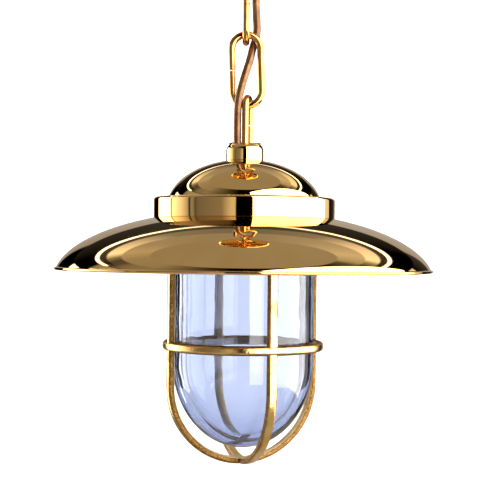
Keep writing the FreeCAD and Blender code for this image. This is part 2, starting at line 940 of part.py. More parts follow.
def earthScrew():
    name = "earth_screw"
    tall = cell("screwHeadHeight")
    thin = cell("screwRadius") - 0.3 * slip
    return fuse(
        name,
        cylinder(name + "_head", cell("screwHead"), tall, earthX, 0, bridgeFoot - tall),
        cylinder(name + "_shank", thin, cell("bridgeThickness"), earthX, 0, bridgeFoot),
    )


def lampholderBody():
    name = "lampholder_body"
    tall = cell("holderHeight")
    half = cell("holderScrewHalf")
    porcelain = cylinder(name + "_porcelain", cell("holderRadius"), tall, z=holderFoot)
    bore = cell("screwRadius") + slip
    side = cell("terminalSide")
    back = cell("terminalBack")
    deep = terminalDepth + beyond
    seat = holderTop - terminalDepth
    holes = [
        cylinder(name + "_socket", cell("sleeveRadius") + slip, socketDepth, z=holderFoot),
        cylinder(name + "_contact_hole", bore, tall, z=holderFoot + 1),
        cylinder(name + "_live_hole", bore, deep, side, back, seat),
        cylinder(name + "_neutral_hole", bore, deep, -side, back, seat),
    ]
    low = holderFoot - beyond
    recess = cell("screwHeadHeight") + 2 * beyond
    for number, x in enumerate((-half, half)):
        fixing = cell("screwRadius") + screwPlay
        holes.append(cylinder(f"{name}_fixing_{number}", fixing, tall + 2 * beyond, x, 0, low))
        holes.append(cylinder(f"{name}_recess_{number}", cell("screwHead") + screwPlay, recess, x, 0, low))
    return cut(name, porcelain, *holes)


def lampholderSleeve():
    outside = cell("sleeveRadius")
    inside = outside - cell("sleeveWall")
    tall = cell("sleeveHeight")
    crown = cell("sleeveCrown")
    under = tall - cell("sleeveWall")
    corners = [(inside, 0), (outside, 0), (outside, tall), (crown, tall), (crown, under), (inside, under)]
    return turned("lampholder_sleeve", corners, holderFoot + 1)


def centreContact():
    """A sprung brass tongue under a rivet that passes through the porcelain."""
    name = "centre_contact"
    socketTop = holderFoot + socketDepth
    thick = cell("tongueSheet")
    low = socketTop - thick
    radius = cell("contactRadius")
    tongue = block(name + "_tongue", cell("tongueLong"), cell("tongueWide"), thick, z=low)
    tip = cylinder(name + "_tip", radius, 2 * thick, z=low - 2 * thick)
    rivet = cylinder(name + "_rivet", cell("screwRadius"), holderTop - low, z=low)
    head = cylinder(name + "_rivet_head", radius, thick, z=holderTop)
    return fuse(name, tongue, tip, rivet, head)


def terminalScrews():
    name = "terminal_screws"
    back = cell("terminalBack")
    deep = terminalDepth - 5 * slip
    screws = []
    for number, side in enumerate((-1, 1)):
        x = side * cell("terminalSide")
        part = f"{name}_{number}"
        head = cylinder(part + "_head", cell("screwHead"), cell("screwHeadHeight"), x, back, holderTop)
        shank = cylinder(part + "_shank", cell("screwRadius"), deep, x, back, holderTop - deep)
        screws.append(fuse(part, head, shank))
    return compound(name, screws)


def lampholderPillars():
    name = "lampholder_pillars"
    tubes = []
    tall = cell("holderDrop")
    inside = cell("screwRadius") + screwPlay
    for number, side in enumerate((-1, 1)):
        x = side * cell("holderScrewHalf")
        part = f"{name}_{number}"
        tube = cylinder(part + "_tube", cell("pillarRadius"), tall, x, 0, holderTop)
        bore = cylinder(part + "_bore", inside, tall + 2 * beyond, x, 0, holderTop - beyond)
        tubes.append(cut(part, tube, bore))
    return compound(name, tubes)


def lampholderScrews():
    name = "lampholder_screws"
    screws = []
    seat = holderFoot + cell("screwHeadHeight") + 1
    for number, side in enumerate((-1, 1)):
        x = side * cell("holderScrewHalf")
        screws.append(slottedScrew(f"{name}_{number}", x, 0, seat, ledgeFoot))
    return compound(name, screws)


# ---------------------------------------------------------------- supply cable and cores
# The cable's route, from the ceiling down: behind the upper link, through the middle link's eye to
# its front, beside the lower link and into the boss. Chosen points, so the chain's sizes don't move them.
cableSpans = {
    "supply_cable_top": [
        (12.0, 9.0, -0.5),
        (11.8, 9.2, -14.0),
        (9.4, 9.0, -28.0),
        (7.0, 8.4, -42.0),
        (6.3, 8.2, -53.0),
        (6.65, 8.4, -59.0),
    ],
    "supply_cable_upper": [
        (6.65, 8.4, -59.0),
        (7.0, 8.6, -65.0),
        (7.6, 8.4, -75.5),
        (4.4, 2.1, -86.5),
        (3.0, -2.4, -94.0),
        (1.8, -4.0, -98.0),
    ],
    "supply_cable_lower": [
        (1.8, -4.0, -98.0),
        (0.6, -5.6, -102.0),
        (-1.9, -6.6, -110.0),
        (-4.4, -6.4, -119.5),
        (-5.2, -5.8, -129.0),
        (-5.2, -5.5, -136.0),
    ],
    "supply_cable_entry": [
        (-5.2, -5.5, -136.0),
        (-5.2, -5.2, -143.0),
        (-5.1, -5.1, -151.0),
        (-4.0, -4.1, -157.5),
        (-1.4, -1.5, -164.0),
        (0.0, -0.1, -172.0),
        (0.0, 0.0, -184.0),
        (0.0, 0.0, -201.0),
    ],
}


def roundedPath(name, points):
    """Straight runs joined by tangent arcs, each as large as its two runs allow."""
    corners = [Vector(*p) for p in points]
    edges = []
    start = corners[0]
    radii = []
    for before, corner, after in zip(corners, corners[1:], corners[2:]):
        back = before - corner
        ahead = after - corner
        turn = math.pi - back.getAngle(ahead)
        reach = 0.45 * min(back.Length, ahead.Length)
        radii.append(reach / math.tan(turn / 2))
        back.normalize()
        ahead.normalize()
        first = corner + back * reach
        last = corner + ahead * reach
        middle = back + ahead
        middle.normalize()
        inward = radii[-1] / math.cos(turn / 2) - radii[-1]
        edges.append(Part.LineSegment(start, first).toShape())
        edges.append(Part.Arc(first, corner + middle * inward, last).toShape())
        start = last
    edges.append(Part.LineSegment(start, corners[-1]).toShape())
    print(name, "bend radii", [round(r, 1) for r in radii])
    return Part.Wire(edges)


def tube(name, points, diameter):
    path = roundedPath(name, points)
    first = Vector(*points[0])
    circle = Part.Wire(Part.Circle(first, Vector(*points[1]) - first, diameter / 2).toShape())
    solid = path.makePipeShell([circle], True, False)
    item = doc.addObject("Part::Feature", name)
    item.Shape = solid
    section = math.pi * diameter**2 / 4 * path.Length
    print(name, "volume", round(solid.Volume), "section times length", round(section))
    return item


def supplyCable():
    return [tube(name, points, cell("cableDiameter").value) for name, points in cableSpans.items()]


def cores():
    """Three insulated cores from the cable's end to the two terminals and the earth screw."""
    end = cableSpans["supply_cable_entry"][-1][2] - 0.05
    top = holderTop.value
    thick = cell("coreDiameter").value
    earth = earthX.value
    terminal = cell("terminalSide").value
    routes = {
        "core_live": [
            (1.2, 0.6, end),
            (1.2, 0.6, end - 3.0),
            (4.0, 4.6, top + 3.6),
            (terminal - 0.5, 5.2, top + 2.0),
        ],
        "core_neutral": [
            (-1.2, 0.6, end),
            (-1.2, 0.6, end - 3.0),
            (-4.0, 4.6, top + 3.6),
            (0.5 - terminal, 5.2, top + 2.0),
        ],
        "core_earth": [
            (0.0, -1.2, end),
            (0.0, -1.2, end - 3.0),
            (6.0, -9.0, end - 5.0),
            (15.0, -12.5, end - 2.0),
            (earth - 6.0, -9.0, bridgeFoot.value - 3.2),
            (earth - 1.5, -4.2, bridgeFoot.value - 1.2),
        ],
    }
    return [tube(name, points, thick) for name, points in routes.items()]


# ---------------------------------------------------------------- build, check and write
pieces = [
    ceilingPlate(),
    ceilingEye(),
    eyeNut(),
    cableBush(),
    *chainLinks(),
    suspensionBoss(),
    bossPin(),
    bossSeal(),
    spigotWasher(),
    spigotNut(),
    domeCap(),
    collarRing(),
    shade(),
    shadeGasket(),
    bodyRing(),
    bodyScrews(),
    glassGasket(),
    glassJar(),
    cageGuard(),
    retainingRing(),
    bridgeBar(),
    earthScrew(),
    lampholderBody(),
    lampholderSleeve(),
    centreContact(),
    terminalScrews(),
    lampholderPillars(),
    lampholderScrews(),
    *supplyCable(),
    *cores(),
]
doc.recompute()

faults = [
    f"{item.Label}: {item.State}"
    for item in doc.Objects
    if "Invalid" in item.State or "Error" in item.State
]
faults += [
    f"{item.Label}: no valid solid"
    for item in pieces
    if item.Shape.isNull() or not item.Shape.isValid() or not item.Shape.Solids
]
if faults:
    raise RuntimeError("; ".join(faults))

os.makedirs("parts", exist_ok=True)
for item in pieces:
    item.Shape.exportStep(f"parts/{item.Label}.step")
    box = item.Shape.BoundBox
    print(f"{item.Label}: {len(item.Shape.Solids)} solids, z {box.ZMin:.2f} to {box.ZMax:.2f}")
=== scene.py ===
import math

import bmesh
import bpy
import numpy as np
from mathutils import Matrix, Vector


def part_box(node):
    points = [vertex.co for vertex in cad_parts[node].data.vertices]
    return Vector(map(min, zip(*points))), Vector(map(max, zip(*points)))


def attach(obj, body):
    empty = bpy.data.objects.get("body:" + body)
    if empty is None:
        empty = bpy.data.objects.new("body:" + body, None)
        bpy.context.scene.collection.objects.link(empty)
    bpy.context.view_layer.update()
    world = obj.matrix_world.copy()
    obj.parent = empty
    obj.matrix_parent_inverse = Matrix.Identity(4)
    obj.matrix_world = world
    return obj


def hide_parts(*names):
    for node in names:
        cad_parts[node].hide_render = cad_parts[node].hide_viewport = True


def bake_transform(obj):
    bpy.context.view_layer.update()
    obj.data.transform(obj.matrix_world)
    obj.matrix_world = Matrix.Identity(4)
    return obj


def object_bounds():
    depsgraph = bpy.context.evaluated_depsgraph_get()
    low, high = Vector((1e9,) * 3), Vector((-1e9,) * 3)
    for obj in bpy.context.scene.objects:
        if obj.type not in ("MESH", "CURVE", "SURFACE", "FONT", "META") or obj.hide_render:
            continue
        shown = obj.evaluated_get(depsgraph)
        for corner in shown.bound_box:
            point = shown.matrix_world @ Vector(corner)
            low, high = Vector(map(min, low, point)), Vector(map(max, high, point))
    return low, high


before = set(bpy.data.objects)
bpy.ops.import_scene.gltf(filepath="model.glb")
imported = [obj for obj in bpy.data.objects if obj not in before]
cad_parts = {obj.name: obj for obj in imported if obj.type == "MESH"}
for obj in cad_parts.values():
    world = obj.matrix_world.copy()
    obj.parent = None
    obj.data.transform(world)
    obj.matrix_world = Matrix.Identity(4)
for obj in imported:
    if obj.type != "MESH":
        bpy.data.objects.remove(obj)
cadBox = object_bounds()
mm = 0.001
print("stage: frame loaded,", len(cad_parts), "nodes")


def linear(hexText):
    values = []
    for start in (0, 2, 4):
        part = int(hexText[start:start + 2], 16) / 255
        values.append(part / 12.92 if part <= 0.04045 else ((part + 0.055) / 1.055) ** 2.4)
    return (*values, 1.0)


def newMaterial(name):
    material = bpy.data.materials.new(name)
    material.use_nodes = True
    material.node_tree.nodes.clear()
    return material, material.node_tree


def addNode(tree, kind, inputs=None, stops=None, **settings):
    # stops are (place, colour) pairs of a colour ramp
    node = tree.nodes.new(kind)
    for key, value in settings.items():
        setattr(node, key, value)
    for key, value in (inputs or {}).items():
        socket = node.inputs[key]
        if isinstance(value, bpy.types.NodeSocket):
            tree.links.new(value, socket)
        else:
            socket.default_value = value
    if stops:
        elements = node.color_ramp.elements
        while len(elements) < len(stops):
            elements.new(1.0)
        for element, (place, colour) in zip(elements, stops):
            element.position = place
            element.color = colour
    return node


def newPiece(name, vertices, faces):
    mesh = bpy.data.meshes.new(name)
    mesh.from_pydata([tuple(v) for v in vertices], [], faces)
    piece = bpy.data.objects.new(name, mesh)
    bpy.context.scene.collection.objects.link(piece)
    return piece


def meshObject(name, vertices, faces, sharp=35):
    piece = newPiece(name, vertices, faces)
    tidyMesh(piece, sharp)
    return piece


def tidyMesh(piece, sharp=35):
    # doubles merged, faces turned outwards, smooth except at real edges
    cleaned = bmesh.new()
    cleaned.from_mesh(piece.data)
    bmesh.ops.remove_doubles(cleaned, verts=cleaned.verts, dist=1e-7)
    bmesh.ops.dissolve_degenerate(cleaned, dist=1e-8, edges=cleaned.edges)
    bmesh.ops.recalc_face_normals(cleaned, faces=cleaned.faces)
    cleaned.to_mesh(piece.data)
    cleaned.free()
    piece.data.polygons.foreach_set("use_smooth", [True] * len(piece.data.polygons))
    piece.data.set_sharp_from_angle(angle=math.radians(sharp))
    piece.data.update()


def lathe(name, outline, segments=256, sharp=35):
    # outline is a closed loop of (radius, height) in metres, turned about the Z axis
    vertices, faces = [], []
    count = len(outline)
    for step in range(segments):
        angle = 2 * math.pi * step / segments
        for radius, height in outline:
            vertices.append((radius * math.cos(angle), radius * math.sin(angle), height))
    for step in range(segments):
        here, there = step * count, (step + 1) % segments * count
        for index in range(count):
            after = (index + 1) % count
            faces.append([here + index, there + index, there + after, here + after])
    return meshObject(name, vertices, faces, sharp)


def arc(centre, across, up, start, end, count):
    # points of an elliptic arc, angles in degrees from the radial direction
    found = []
    for angle in np.linspace(math.radians(start), math.radians(end), count):
        found.append((centre[0] + across * math.cos(angle), centre[1] + up * math.sin(angle)))
    return found


def frames(points):
    # a direction and two sides at each point, carried along without twist
    points = [Vector(p) for p in points]
    side = None
    found = []
    for index, point in enumerate(points):
        ahead = points[min(index + 1, len(points) - 1)] - points[max(index - 1, 0)]
        ahead.normalize()
        if side is None:
            side = ahead.orthogonal().normalized()
        side = (side - ahead * side.dot(ahead)).normalized()
        found.append((point, side, ahead.cross(side)))
    return found


def tube(name, points, radius, sides=32):
    # a closed round tube along points, with a UV map: U along it in turns of its girth, V round it
    vertices, faces = [], []
    rings = frames(points)
    for point, side, other in rings:
        for step in range(sides):
            angle = 2 * math.pi * step / sides
            vertices.append(point + radius * (math.cos(angle) * side + math.sin(angle) * other))
    for ring in range(len(rings) - 1):
        for step in range(sides):
            after = (step + 1) % sides
            low, high = ring * sides, (ring + 1) * sides
            faces.append([low + step, low + after, high + after, high + step])
    faces.append(list(range(sides))[::-1])
    faces.append([(len(rings) - 1) * sides + step for step in range(sides)])
    piece = newPiece(name, vertices, faces)
    mesh = piece.data
    along = [0.0]
    for (before, _, _), (here, _, _) in zip(rings, rings[1:]):
        along.append(along[-1] + (here - before).length)
    layer = mesh.uv_layers.new(name="along")
    girth = 2 * math.pi * radius
    for face in mesh.polygons:
        steps = [mesh.loops[i].vertex_index % sides for i in face.loop_indices]
        seam = max(steps) - min(steps) > sides / 2
        for i, step in zip(face.loop_indices, steps):
            ring = mesh.loops[i].vertex_index // sides
            turn = (step + sides if seam and step < sides / 2 else step) / sides
            layer.data[i].uv = (along[ring] / girth, turn)
    mesh.polygons.foreach_set("use_smooth", [True] * len(mesh.polygons))
    mesh.set_sharp_from_angle(angle=math.radians(50))
    mesh.update()
    return piece


def applied(piece):
    # every modifier made real
    evaluated = piece.evaluated_get(bpy.context.evaluated_depsgraph_get())
    mesh = bpy.data.meshes.new_from_object(evaluated)
    old = piece.data
    piece.modifiers.clear()
    piece.data = mesh
    bpy.data.meshes.remove(old)
    return piece


def cutWith(piece, tools):
    for tool in tools:
        change = piece.modifiers.new("cut", "BOOLEAN")
        change.operation = "DIFFERENCE"
        change.solver = "EXACT"
        change.object = tool
    applied(piece)
    for tool in tools:
        bpy.data.objects.remove(tool)
    tidyMesh(piece)
    return piece


def newTree(name, sizes):
    # a node tree with one named input for each size, in metres or as a whole number
    tree = bpy.data.node_groups.new(name, "GeometryNodeTree")
    tree.is_modifier = True
    tree.interface.new_socket("Geometry", in_out="INPUT", socket_type="NodeSocketGeometry")
    tree.interface.new_socket("Geometry", in_out="OUTPUT", socket_type="NodeSocketGeometry")
    for size, value in sizes.items():
        kind = "NodeSocketInt" if isinstance(value, int) else "NodeSocketFloat"
        tree.interface.new_socket(size, in_out="INPUT", socket_type=kind)
    tree.interface.new_socket("Material", in_out="INPUT", socket_type="NodeSocketMaterial")
    return tree, addNode(tree, "NodeGroupInput").outputs


def useTree(piece, tree, sizes, material):
    change = piece.modifiers.new(tree.name, "NODES")
    change.node_group = tree
    for item in tree.interface.items_tree:
        if item.in_out == "INPUT" and item.name in sizes:
            change[item.identifier] = sizes[item.name]
        if item.in_out == "INPUT" and item.name == "Material":
            change[item.identifier] = material


def endTree(tree, geometry, material):
    real = addNode(tree, "GeometryNodeRealizeInstances", {"Geometry": geometry})
    coloured = addNode(tree, "GeometryNodeSetMaterial", {"Geometry": real.outputs[0], "Material": material})
    addNode(tree, "NodeGroupOutput", {"Geometry": coloured.outputs[0]})


def standsFor(piece, node, body, material):
    piece.data.materials.clear()
    piece.data.materials.append(material)
    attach(piece, body)
    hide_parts(node)
    return piece


def finish(node, material):
    # a CAD node keeps its shape and gets the material
    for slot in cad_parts[node].material_slots:
        slot.material = material


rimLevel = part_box("shade")[0][2]
view = {"distance": 0.876, "aboveRim": 15.6 * mm, "right": 4.1 * mm, "tilt": -0.09, "roll": 0.6,
        "lens": 94.4}


def makeCamera():
    data = bpy.data.cameras.new("camera")
    data.lens = view["lens"]
    data.sensor_width = 36
    data.clip_end = 50
    camera = bpy.data.objects.new("camera", data)
    bpy.context.scene.collection.objects.link(camera)
    look = Matrix.Rotation(math.radians(90 + view["tilt"]), 4, "X")
    spin = Matrix.Rotation(math.radians(view["roll"]), 4, "Z")
    place = Matrix.Translation((view["right"], -view["distance"], rimLevel + view["aboveRim"]))
    camera.matrix_world = place @ look @ spin
    bpy.context.scene.camera = camera


makeCamera()


def polishedBrass():
    # machine-polished brass: a clean mirror with very fine circular wipe marks and a faint warm tarnish
    material, tree = newMaterial("brassPolished")
    where = addNode(tree, "ShaderNodeTexCoord").outputs["Object"]
    # tarnish clouds about 30 mm across
    cloud = addNode(
        tree, "ShaderNodeTexNoise", {"Vector": where, "Scale": 33.0, "Detail": 4.0, "Roughness": 0.55},
    )
    tint = addNode(
        tree, "ShaderNodeValToRGB", {"Fac": cloud.outputs["Fac"]},
        [(0.3, linear("ECBE76")), (0.7, linear("F2CA88"))],
    )
    # wipe marks drawn about 0.6 mm wide, coarser than the real ones so that they show
    squeezed = addNode(tree, "ShaderNodeMapping", {"Vector": where, "Scale": (120.0, 120.0, 1600.0)})
    marks = addNode(
        tree, "ShaderNodeTexNoise", {"Vector": squeezed.outputs["Vector"], "Scale": 1.0, "Detail": 3.0},
    )
    rough = addNode(
        tree, "ShaderNodeMapRange",
        {"Value": cloud.outputs["Fac"], "From Min": 0.3, "From Max": 0.75, "To Min": 0.02, "To Max": 0.05},
    )
    # slow unevenness of a spun sheet, which bends the reflections a little
    wave = addNode(tree, "ShaderNodeTexNoise", {"Vector": where, "Scale": 22.0, "Detail": 1.0})
    slow = addNode(
        tree, "ShaderNodeBump", {"Height": wave.outputs["Fac"], "Strength": 0.22, "Distance": 0.0012},
    )
    fine = addNode(
        tree, "ShaderNodeBump",
        {"Height": marks.outputs["Fac"], "Strength": 0.05, "Distance": 0.00004,
         "Normal": slow.outputs["Normal"]},
    )
    shader = addNode(
        tree, "ShaderNodeBsdfPrincipled",
        {"Base Color": tint.outputs["Color"], "Metallic": 1.0, "Roughness": rough.outputs["Result"],
         "Normal": fine.outputs["Normal"]},
    )
    addNode(tree, "ShaderNodeOutputMaterial", {"Surface": shader.outputs["BSDF"]})
    return material


def castBrass():
    # sand-cast brass, its outer faces linished and polished: rough tan sides, bright rounded faces
    material, tree = newMaterial("brassCast")
    where = addNode(tree, "ShaderNodeTexCoord").outputs["Object"]
    normal = addNode(tree, "ShaderNodeNewGeometry").outputs["Normal"]
    parts = addNode(tree, "ShaderNodeSeparateXYZ", {"Vector": where})
    # below the bend the outward direction turns down with the bars
    down = addNode(tree, "ShaderNodeMath", {0: parts.outputs["Z"], 1: -guardBend}, operation="ADD")
    low = addNode(tree, "ShaderNodeMath", {0: down.outputs[0], 1: 0.0}, operation="MINIMUM")
    out = addNode(
        tree, "ShaderNodeCombineXYZ",
        {"X": parts.outputs["X"], "Y": parts.outputs["Y"], "Z": low.outputs[0]},
    )
    unit = addNode(tree, "ShaderNodeVectorMath", {0: out.outputs[0]}, operation="NORMALIZE")
    facing = addNode(tree, "ShaderNodeVectorMath", {0: unit.outputs[0], 1: normal}, operation="DOT_PRODUCT")
    grit = addNode(
        tree, "ShaderNodeTexNoise", {"Vector": where, "Scale": 1100.0, "Detail": 3.0, "Roughness": 0.7},
    )
    pits = addNode(tree, "ShaderNodeTexVoronoi", {"Vector": where, "Scale": 900.0})
    cloud = addNode(tree, "ShaderNodeTexNoise", {"Vector": where, "Scale": 90.0, "Detail": 4.0})
    # the edge of the polished face wanders slowly along each bar
    edge = addNode(
        tree, "ShaderNodeMath", {0: cloud.outputs["Fac"], 1: 0.5, 2: 0.0}, operation="MULTIPLY_ADD",
    )
    wandering = addNode(
        tree, "ShaderNodeMath", {0: facing.outputs["Value"], 1: edge.outputs[0]}, operation="ADD",
    )
    polish = addNode(
        tree, "ShaderNodeMapRange",
        {"Value": wandering.outputs[0], "From Min": 1.02, "From Max": 1.2, "To Min": 0.0, "To Max": 1.0},
    )
    castTint = addNode(
        tree, "ShaderNodeValToRGB", {"Fac": grit.outputs["Fac"]},
        [(0.34, linear("24160A")), (0.43, linear("6B4A22")), (0.58, linear("94703C")),
         (0.74, linear("CBAE78"))],
    )
    bright = addNode(
        tree, "ShaderNodeValToRGB", {"Fac": cloud.outputs["Fac"]},
        [(0.3, linear("E0B066")), (0.7, linear("EFCB8B"))],
    )
    mix = addNode(
        tree, "ShaderNodeMix",
        {0: polish.outputs["Result"], 6: castTint.outputs["Color"], 7: bright.outputs["Color"]},
        data_type="RGBA",
    )
    rough = addNode(
        tree, "ShaderNodeMapRange",
        {"Value": polish.outputs["Result"], "From Min": 0.0, "From Max": 1.0, "To Min": 0.42,
         "To Max": 0.13},
    )
    strength = addNode(
        tree, "ShaderNodeMapRange",
        {"Value": polish.outputs["Result"], "From Min": 0.0, "From Max": 1.0, "To Min": 0.9, "To Max": 0.12},
    )
    height = addNode(
        tree, "ShaderNodeMath", {0: grit.outputs["Fac"], 1: pits.outputs["Distance"]}, operation="ADD",
    )
    bump = addNode(
        tree, "ShaderNodeBump",
        {"Height": height.outputs[0], "Strength": strength.outputs["Result"], "Distance": 0.00045},
    )
    # the faces towards the glass are painted a pale cream, painted light that stands in for the front light
    # they catch; they are also made matt
    inward = addNode(
        tree, "ShaderNodeMapRange",
        {"Value": facing.outputs["Value"], "From Min": -0.45, "From Max": -0.75, "To Min": 0.0,
         "To Max": 1.0},
    )
    # pale cream painted light on the faces towards the glass
    paintedInnerLight = addNode(
        tree, "ShaderNodeValToRGB", {"Fac": cloud.outputs["Fac"]},
        [(0.3, linear("F2D294")), (0.7, linear("FFEBBE"))],
    )
    base = addNode(
        tree, "ShaderNodeMix", {0: inward.outputs["Result"], 6: mix.outputs[2], 7: paintedInnerLight.outputs["Color"]},
        data_type="RGBA",
    )
    matt = addNode(
        tree, "ShaderNodeMath", {0: inward.outputs["Result"], 1: 0.2, 2: rough.outputs["Result"]},
        operation="MULTIPLY_ADD",
    )
    shader = addNode(
        tree, "ShaderNodeBsdfPrincipled",
        {"Base Color": base.outputs[2], "Metallic": 1.0, "Roughness": matt.outputs[0],
         "Normal": bump.outputs["Normal"]},
    )
    addNode(tree, "ShaderNodeOutputMaterial", {"Surface": shader.outputs["BSDF"]})
    return material


def clearGlass():
    # pressed soda-lime jar glass: thick, a little uneven inside, cool blue in its depth
    material, tree = newMaterial("glassPressed")
    where = addNode(tree, "ShaderNodeTexCoord").outputs["Object"]
    wave = addNode(
        tree, "ShaderNodeTexNoise", {"Vector": where, "Scale": 28.0, "Detail": 2.0, "Distortion": 0.4},
    )
    bump = addNode(
        tree, "ShaderNodeBump", {"Height": wave.outputs["Fac"], "Strength": 0.3, "Distance": 0.0016},
    )
    shader = addNode(
        tree, "ShaderNodeBsdfPrincipled",
        {"Base Color": linear("FBFCFF"), "Roughness": 0.0, "IOR": 1.5, "Transmission Weight": 1.0,
         "Normal": bump.outputs["Normal"]},
    )
    depth = addNode(tree, "ShaderNodeVolumeAbsorption", {"Color": (0.07, 0.21, 0.56, 1.0), "Density": 98.0})
    addNode(
        tree, "ShaderNodeOutputMaterial",
        {"Surface": shader.outputs["BSDF"], "Volume": depth.outputs["Volume"]},
    )
    return material


def cableSheath():
    # extruded PVC flex in old gold: smooth and glossy, with the metal flake of the colour and long die lines
    material, tree = newMaterial("pvcGoldExtruded")
    around = addNode(tree, "ShaderNodeTexCoord").outputs["UV"]
    where = addNode(tree, "ShaderNodeTexCoord").outputs["Object"]
    # flakes are about 0.05 mm, drawn at 0.4 mm so that they show
    flake = addNode(tree, "ShaderNodeTexNoise", {"Vector": where, "Scale": 2500.0, "Detail": 2.0})
    cloud = addNode(tree, "ShaderNodeTexNoise", {"Vector": where, "Scale": 120.0, "Detail": 3.0})
    mottled = addNode(
        tree, "ShaderNodeMath", {0: flake.outputs["Fac"], 1: cloud.outputs["Fac"]}, operation="MULTIPLY",
    )
    tint = addNode(
        tree, "ShaderNodeValToRGB", {"Fac": mottled.outputs[0]},
        [(0.12, linear("4A2C18")), (0.26, linear("694624")), (0.42, linear("8C683A"))],
    )
    stretched = addNode(tree, "ShaderNodeMapping", {"Vector": around, "Scale": (0.6, 40.0, 1.0)})
    lines = addNode(
        tree, "ShaderNodeTexNoise", {"Vector": stretched.outputs["Vector"], "Scale": 1.0, "Detail": 2.0},
    )
    bump = addNode(
        tree, "ShaderNodeBump", {"Height": lines.outputs["Fac"], "Strength": 0.25, "Distance": 0.00005},
    )
    shader = addNode(
        tree, "ShaderNodeBsdfPrincipled",
        {"Base Color": tint.outputs["Color"], "Metallic": 0.7, "Roughness": 0.24, "Coat Weight": 0.35,
         "Coat Roughness": 0.08, "Normal": bump.outputs["Normal"]},
    )
    addNode(tree, "ShaderNodeOutputMaterial", {"Surface": shader.outputs["BSDF"]})
    return material


def plainMaterial(name, low, high, metallic, roughness, scale, bumpHeight):
    # a base finish with slow colour variation and a fine grain
    material, tree = newMaterial(name)
    where = addNode(tree, "ShaderNodeTexCoord").outputs["Object"]
    cloud = addNode(tree, "ShaderNodeTexNoise", {"Vector": where, "Scale": scale, "Detail": 4.0})
    tint = addNode(
        tree, "ShaderNodeValToRGB", {"Fac": cloud.outputs["Fac"]},
        [(0.3, linear(low)), (0.7, linear(high))],
    )
    grain = addNode(tree, "ShaderNodeTexNoise", {"Vector": where, "Scale": scale * 12, "Detail": 3.0})
    rough = addNode(
        tree, "ShaderNodeMapRange",
        {"Value": grain.outputs["Fac"], "To Min": roughness * 0.8, "To Max": roughness * 1.25},
    )
    bump = addNode(
        tree, "ShaderNodeBump", {"Height": grain.outputs["Fac"], "Strength": 0.3, "Distance": bumpHeight},
    )
    shader = addNode(
        tree, "ShaderNodeBsdfPrincipled",
        {"Base Color": tint.outputs["Color"], "Metallic": metallic, "Roughness": rough.outputs["Result"],
         "Normal": bump.outputs["Normal"]},
    )
    addNode(tree, "ShaderNodeOutputMaterial", {"Surface": shader.outputs["BSDF"]})
    return material


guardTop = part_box("cage_guard")[1][2]
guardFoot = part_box("cage_guard")[0][2]
guardRadius = 53.1 * mm
# where the bars begin to turn in under the glass
guardBend = guardFoot + guardRadius

brass = polishedBrass()
brassCast = castBrass()
glass = clearGlass()
sheath = cableSheath()
# zinc plating on turned steel: a soft grey shine with a fine bloom
steel = plainMaterial("steelZincPlated", "8E9093", "B4B6B8", 1.0, 0.32, 120.0, 0.00003)
# moulded rubber: nearly black and matt
rubber = plainMaterial("rubberMoulded", "17171A", "242427", 0.0, 0.6, 150.0, 0.00006)
# glazed porcelain: a warm white with a wet gloss
porcelain = plainMaterial("porcelainGlazed", "EDEBE3", "F6F4EE", 0.0, 0.12, 60.0, 0.00001)
# rolled brass sheet and bar: a paler yellow, half bright
contactBrass = plainMaterial("brassRolled", "C79C55", "DDB56F", 1.0, 0.25, 140.0, 0.00003)
# drawn and tumbled brass wire: darker than the polished sheet, its highlights a little spread
linkBrass = plainMaterial("brassDrawn", "B98A50", "CDA066", 1.0, 0.11, 160.0, 0.00002)
# extruded PVC of the three cores: plain colours, slightly glossy
coreBrown = plainMaterial("pvcBrown", "4A2A18", "5A3420", 0.0, 0.4, 200.0, 0.00002)
coreBlue = plainMaterial("pvcBlue", "1E4E9A", "2A5FB0", 0.0, 0.4, 200.0, 0.00002)
coreGreen = plainMaterial("pvcGreenYellow", "4F9A2C", "C9C22E", 0.0, 0.4, 300.0, 0.00002)
print("stage: materials made")


# the route from the ceiling down, in metres, one list for each span between the middles of two links
cable = {"diameter": 5.2 * mm, "stiffness": "limp", "lay": "hanging"}
cableSpans = {
    "top": {
        "node": "supply_cable_top", "above": "ceiling_fitting", "below": "upper_link",
        "points": [(0.0120, 0.0090, -0.0005), (0.0118, 0.0092, -0.0140), (0.0094, 0.0090, -0.0280),
                   (0.0070, 0.0084, -0.0420), (0.0063, 0.0082, -0.0530), (0.00665, 0.0084, -0.0590)],
    },
    "upper": {
        "node": "supply_cable_upper", "above": "upper_link", "below": "middle_link",
        "points": [(0.00665, 0.0084, -0.0590), (0.0070, 0.0086, -0.0650), (0.0076, 0.0084, -0.0755),
                   (0.0044, 0.0021, -0.0865), (0.0030, -0.0024, -0.0940), (0.0018, -0.0040, -0.0980)],
    },
    "lower": {
        "node": "supply_cable_lower", "above": "middle_link", "below": "lower_link",
        "points": [(0.0018, -0.0040, -0.0980), (0.0006, -0.0056, -0.1020), (-0.0019, -0.0066, -0.1100),
                   (-0.0044, -0.0064, -0.1195), (-0.0052, -0.0058, -0.1290), (-0.0052, -0.0055, -0.1360)],
    },
    "entry": {
        "node": "supply_cable_entry", "above": "lower_link", "below": "lamp",
        "points": [(-0.0052, -0.0055, -0.1360), (-0.0052, -0.0052, -0.1430), (-0.0051, -0.0051, -0.1510),
                   (-0.0040, -0.0041, -0.1575), (-0.0014, -0.0015, -0.1640), (0.0, -0.0001, -0.1720),
                   (0.0, 0.0, -0.1840), (0.0, 0.0, -0.2010)],
    },
}


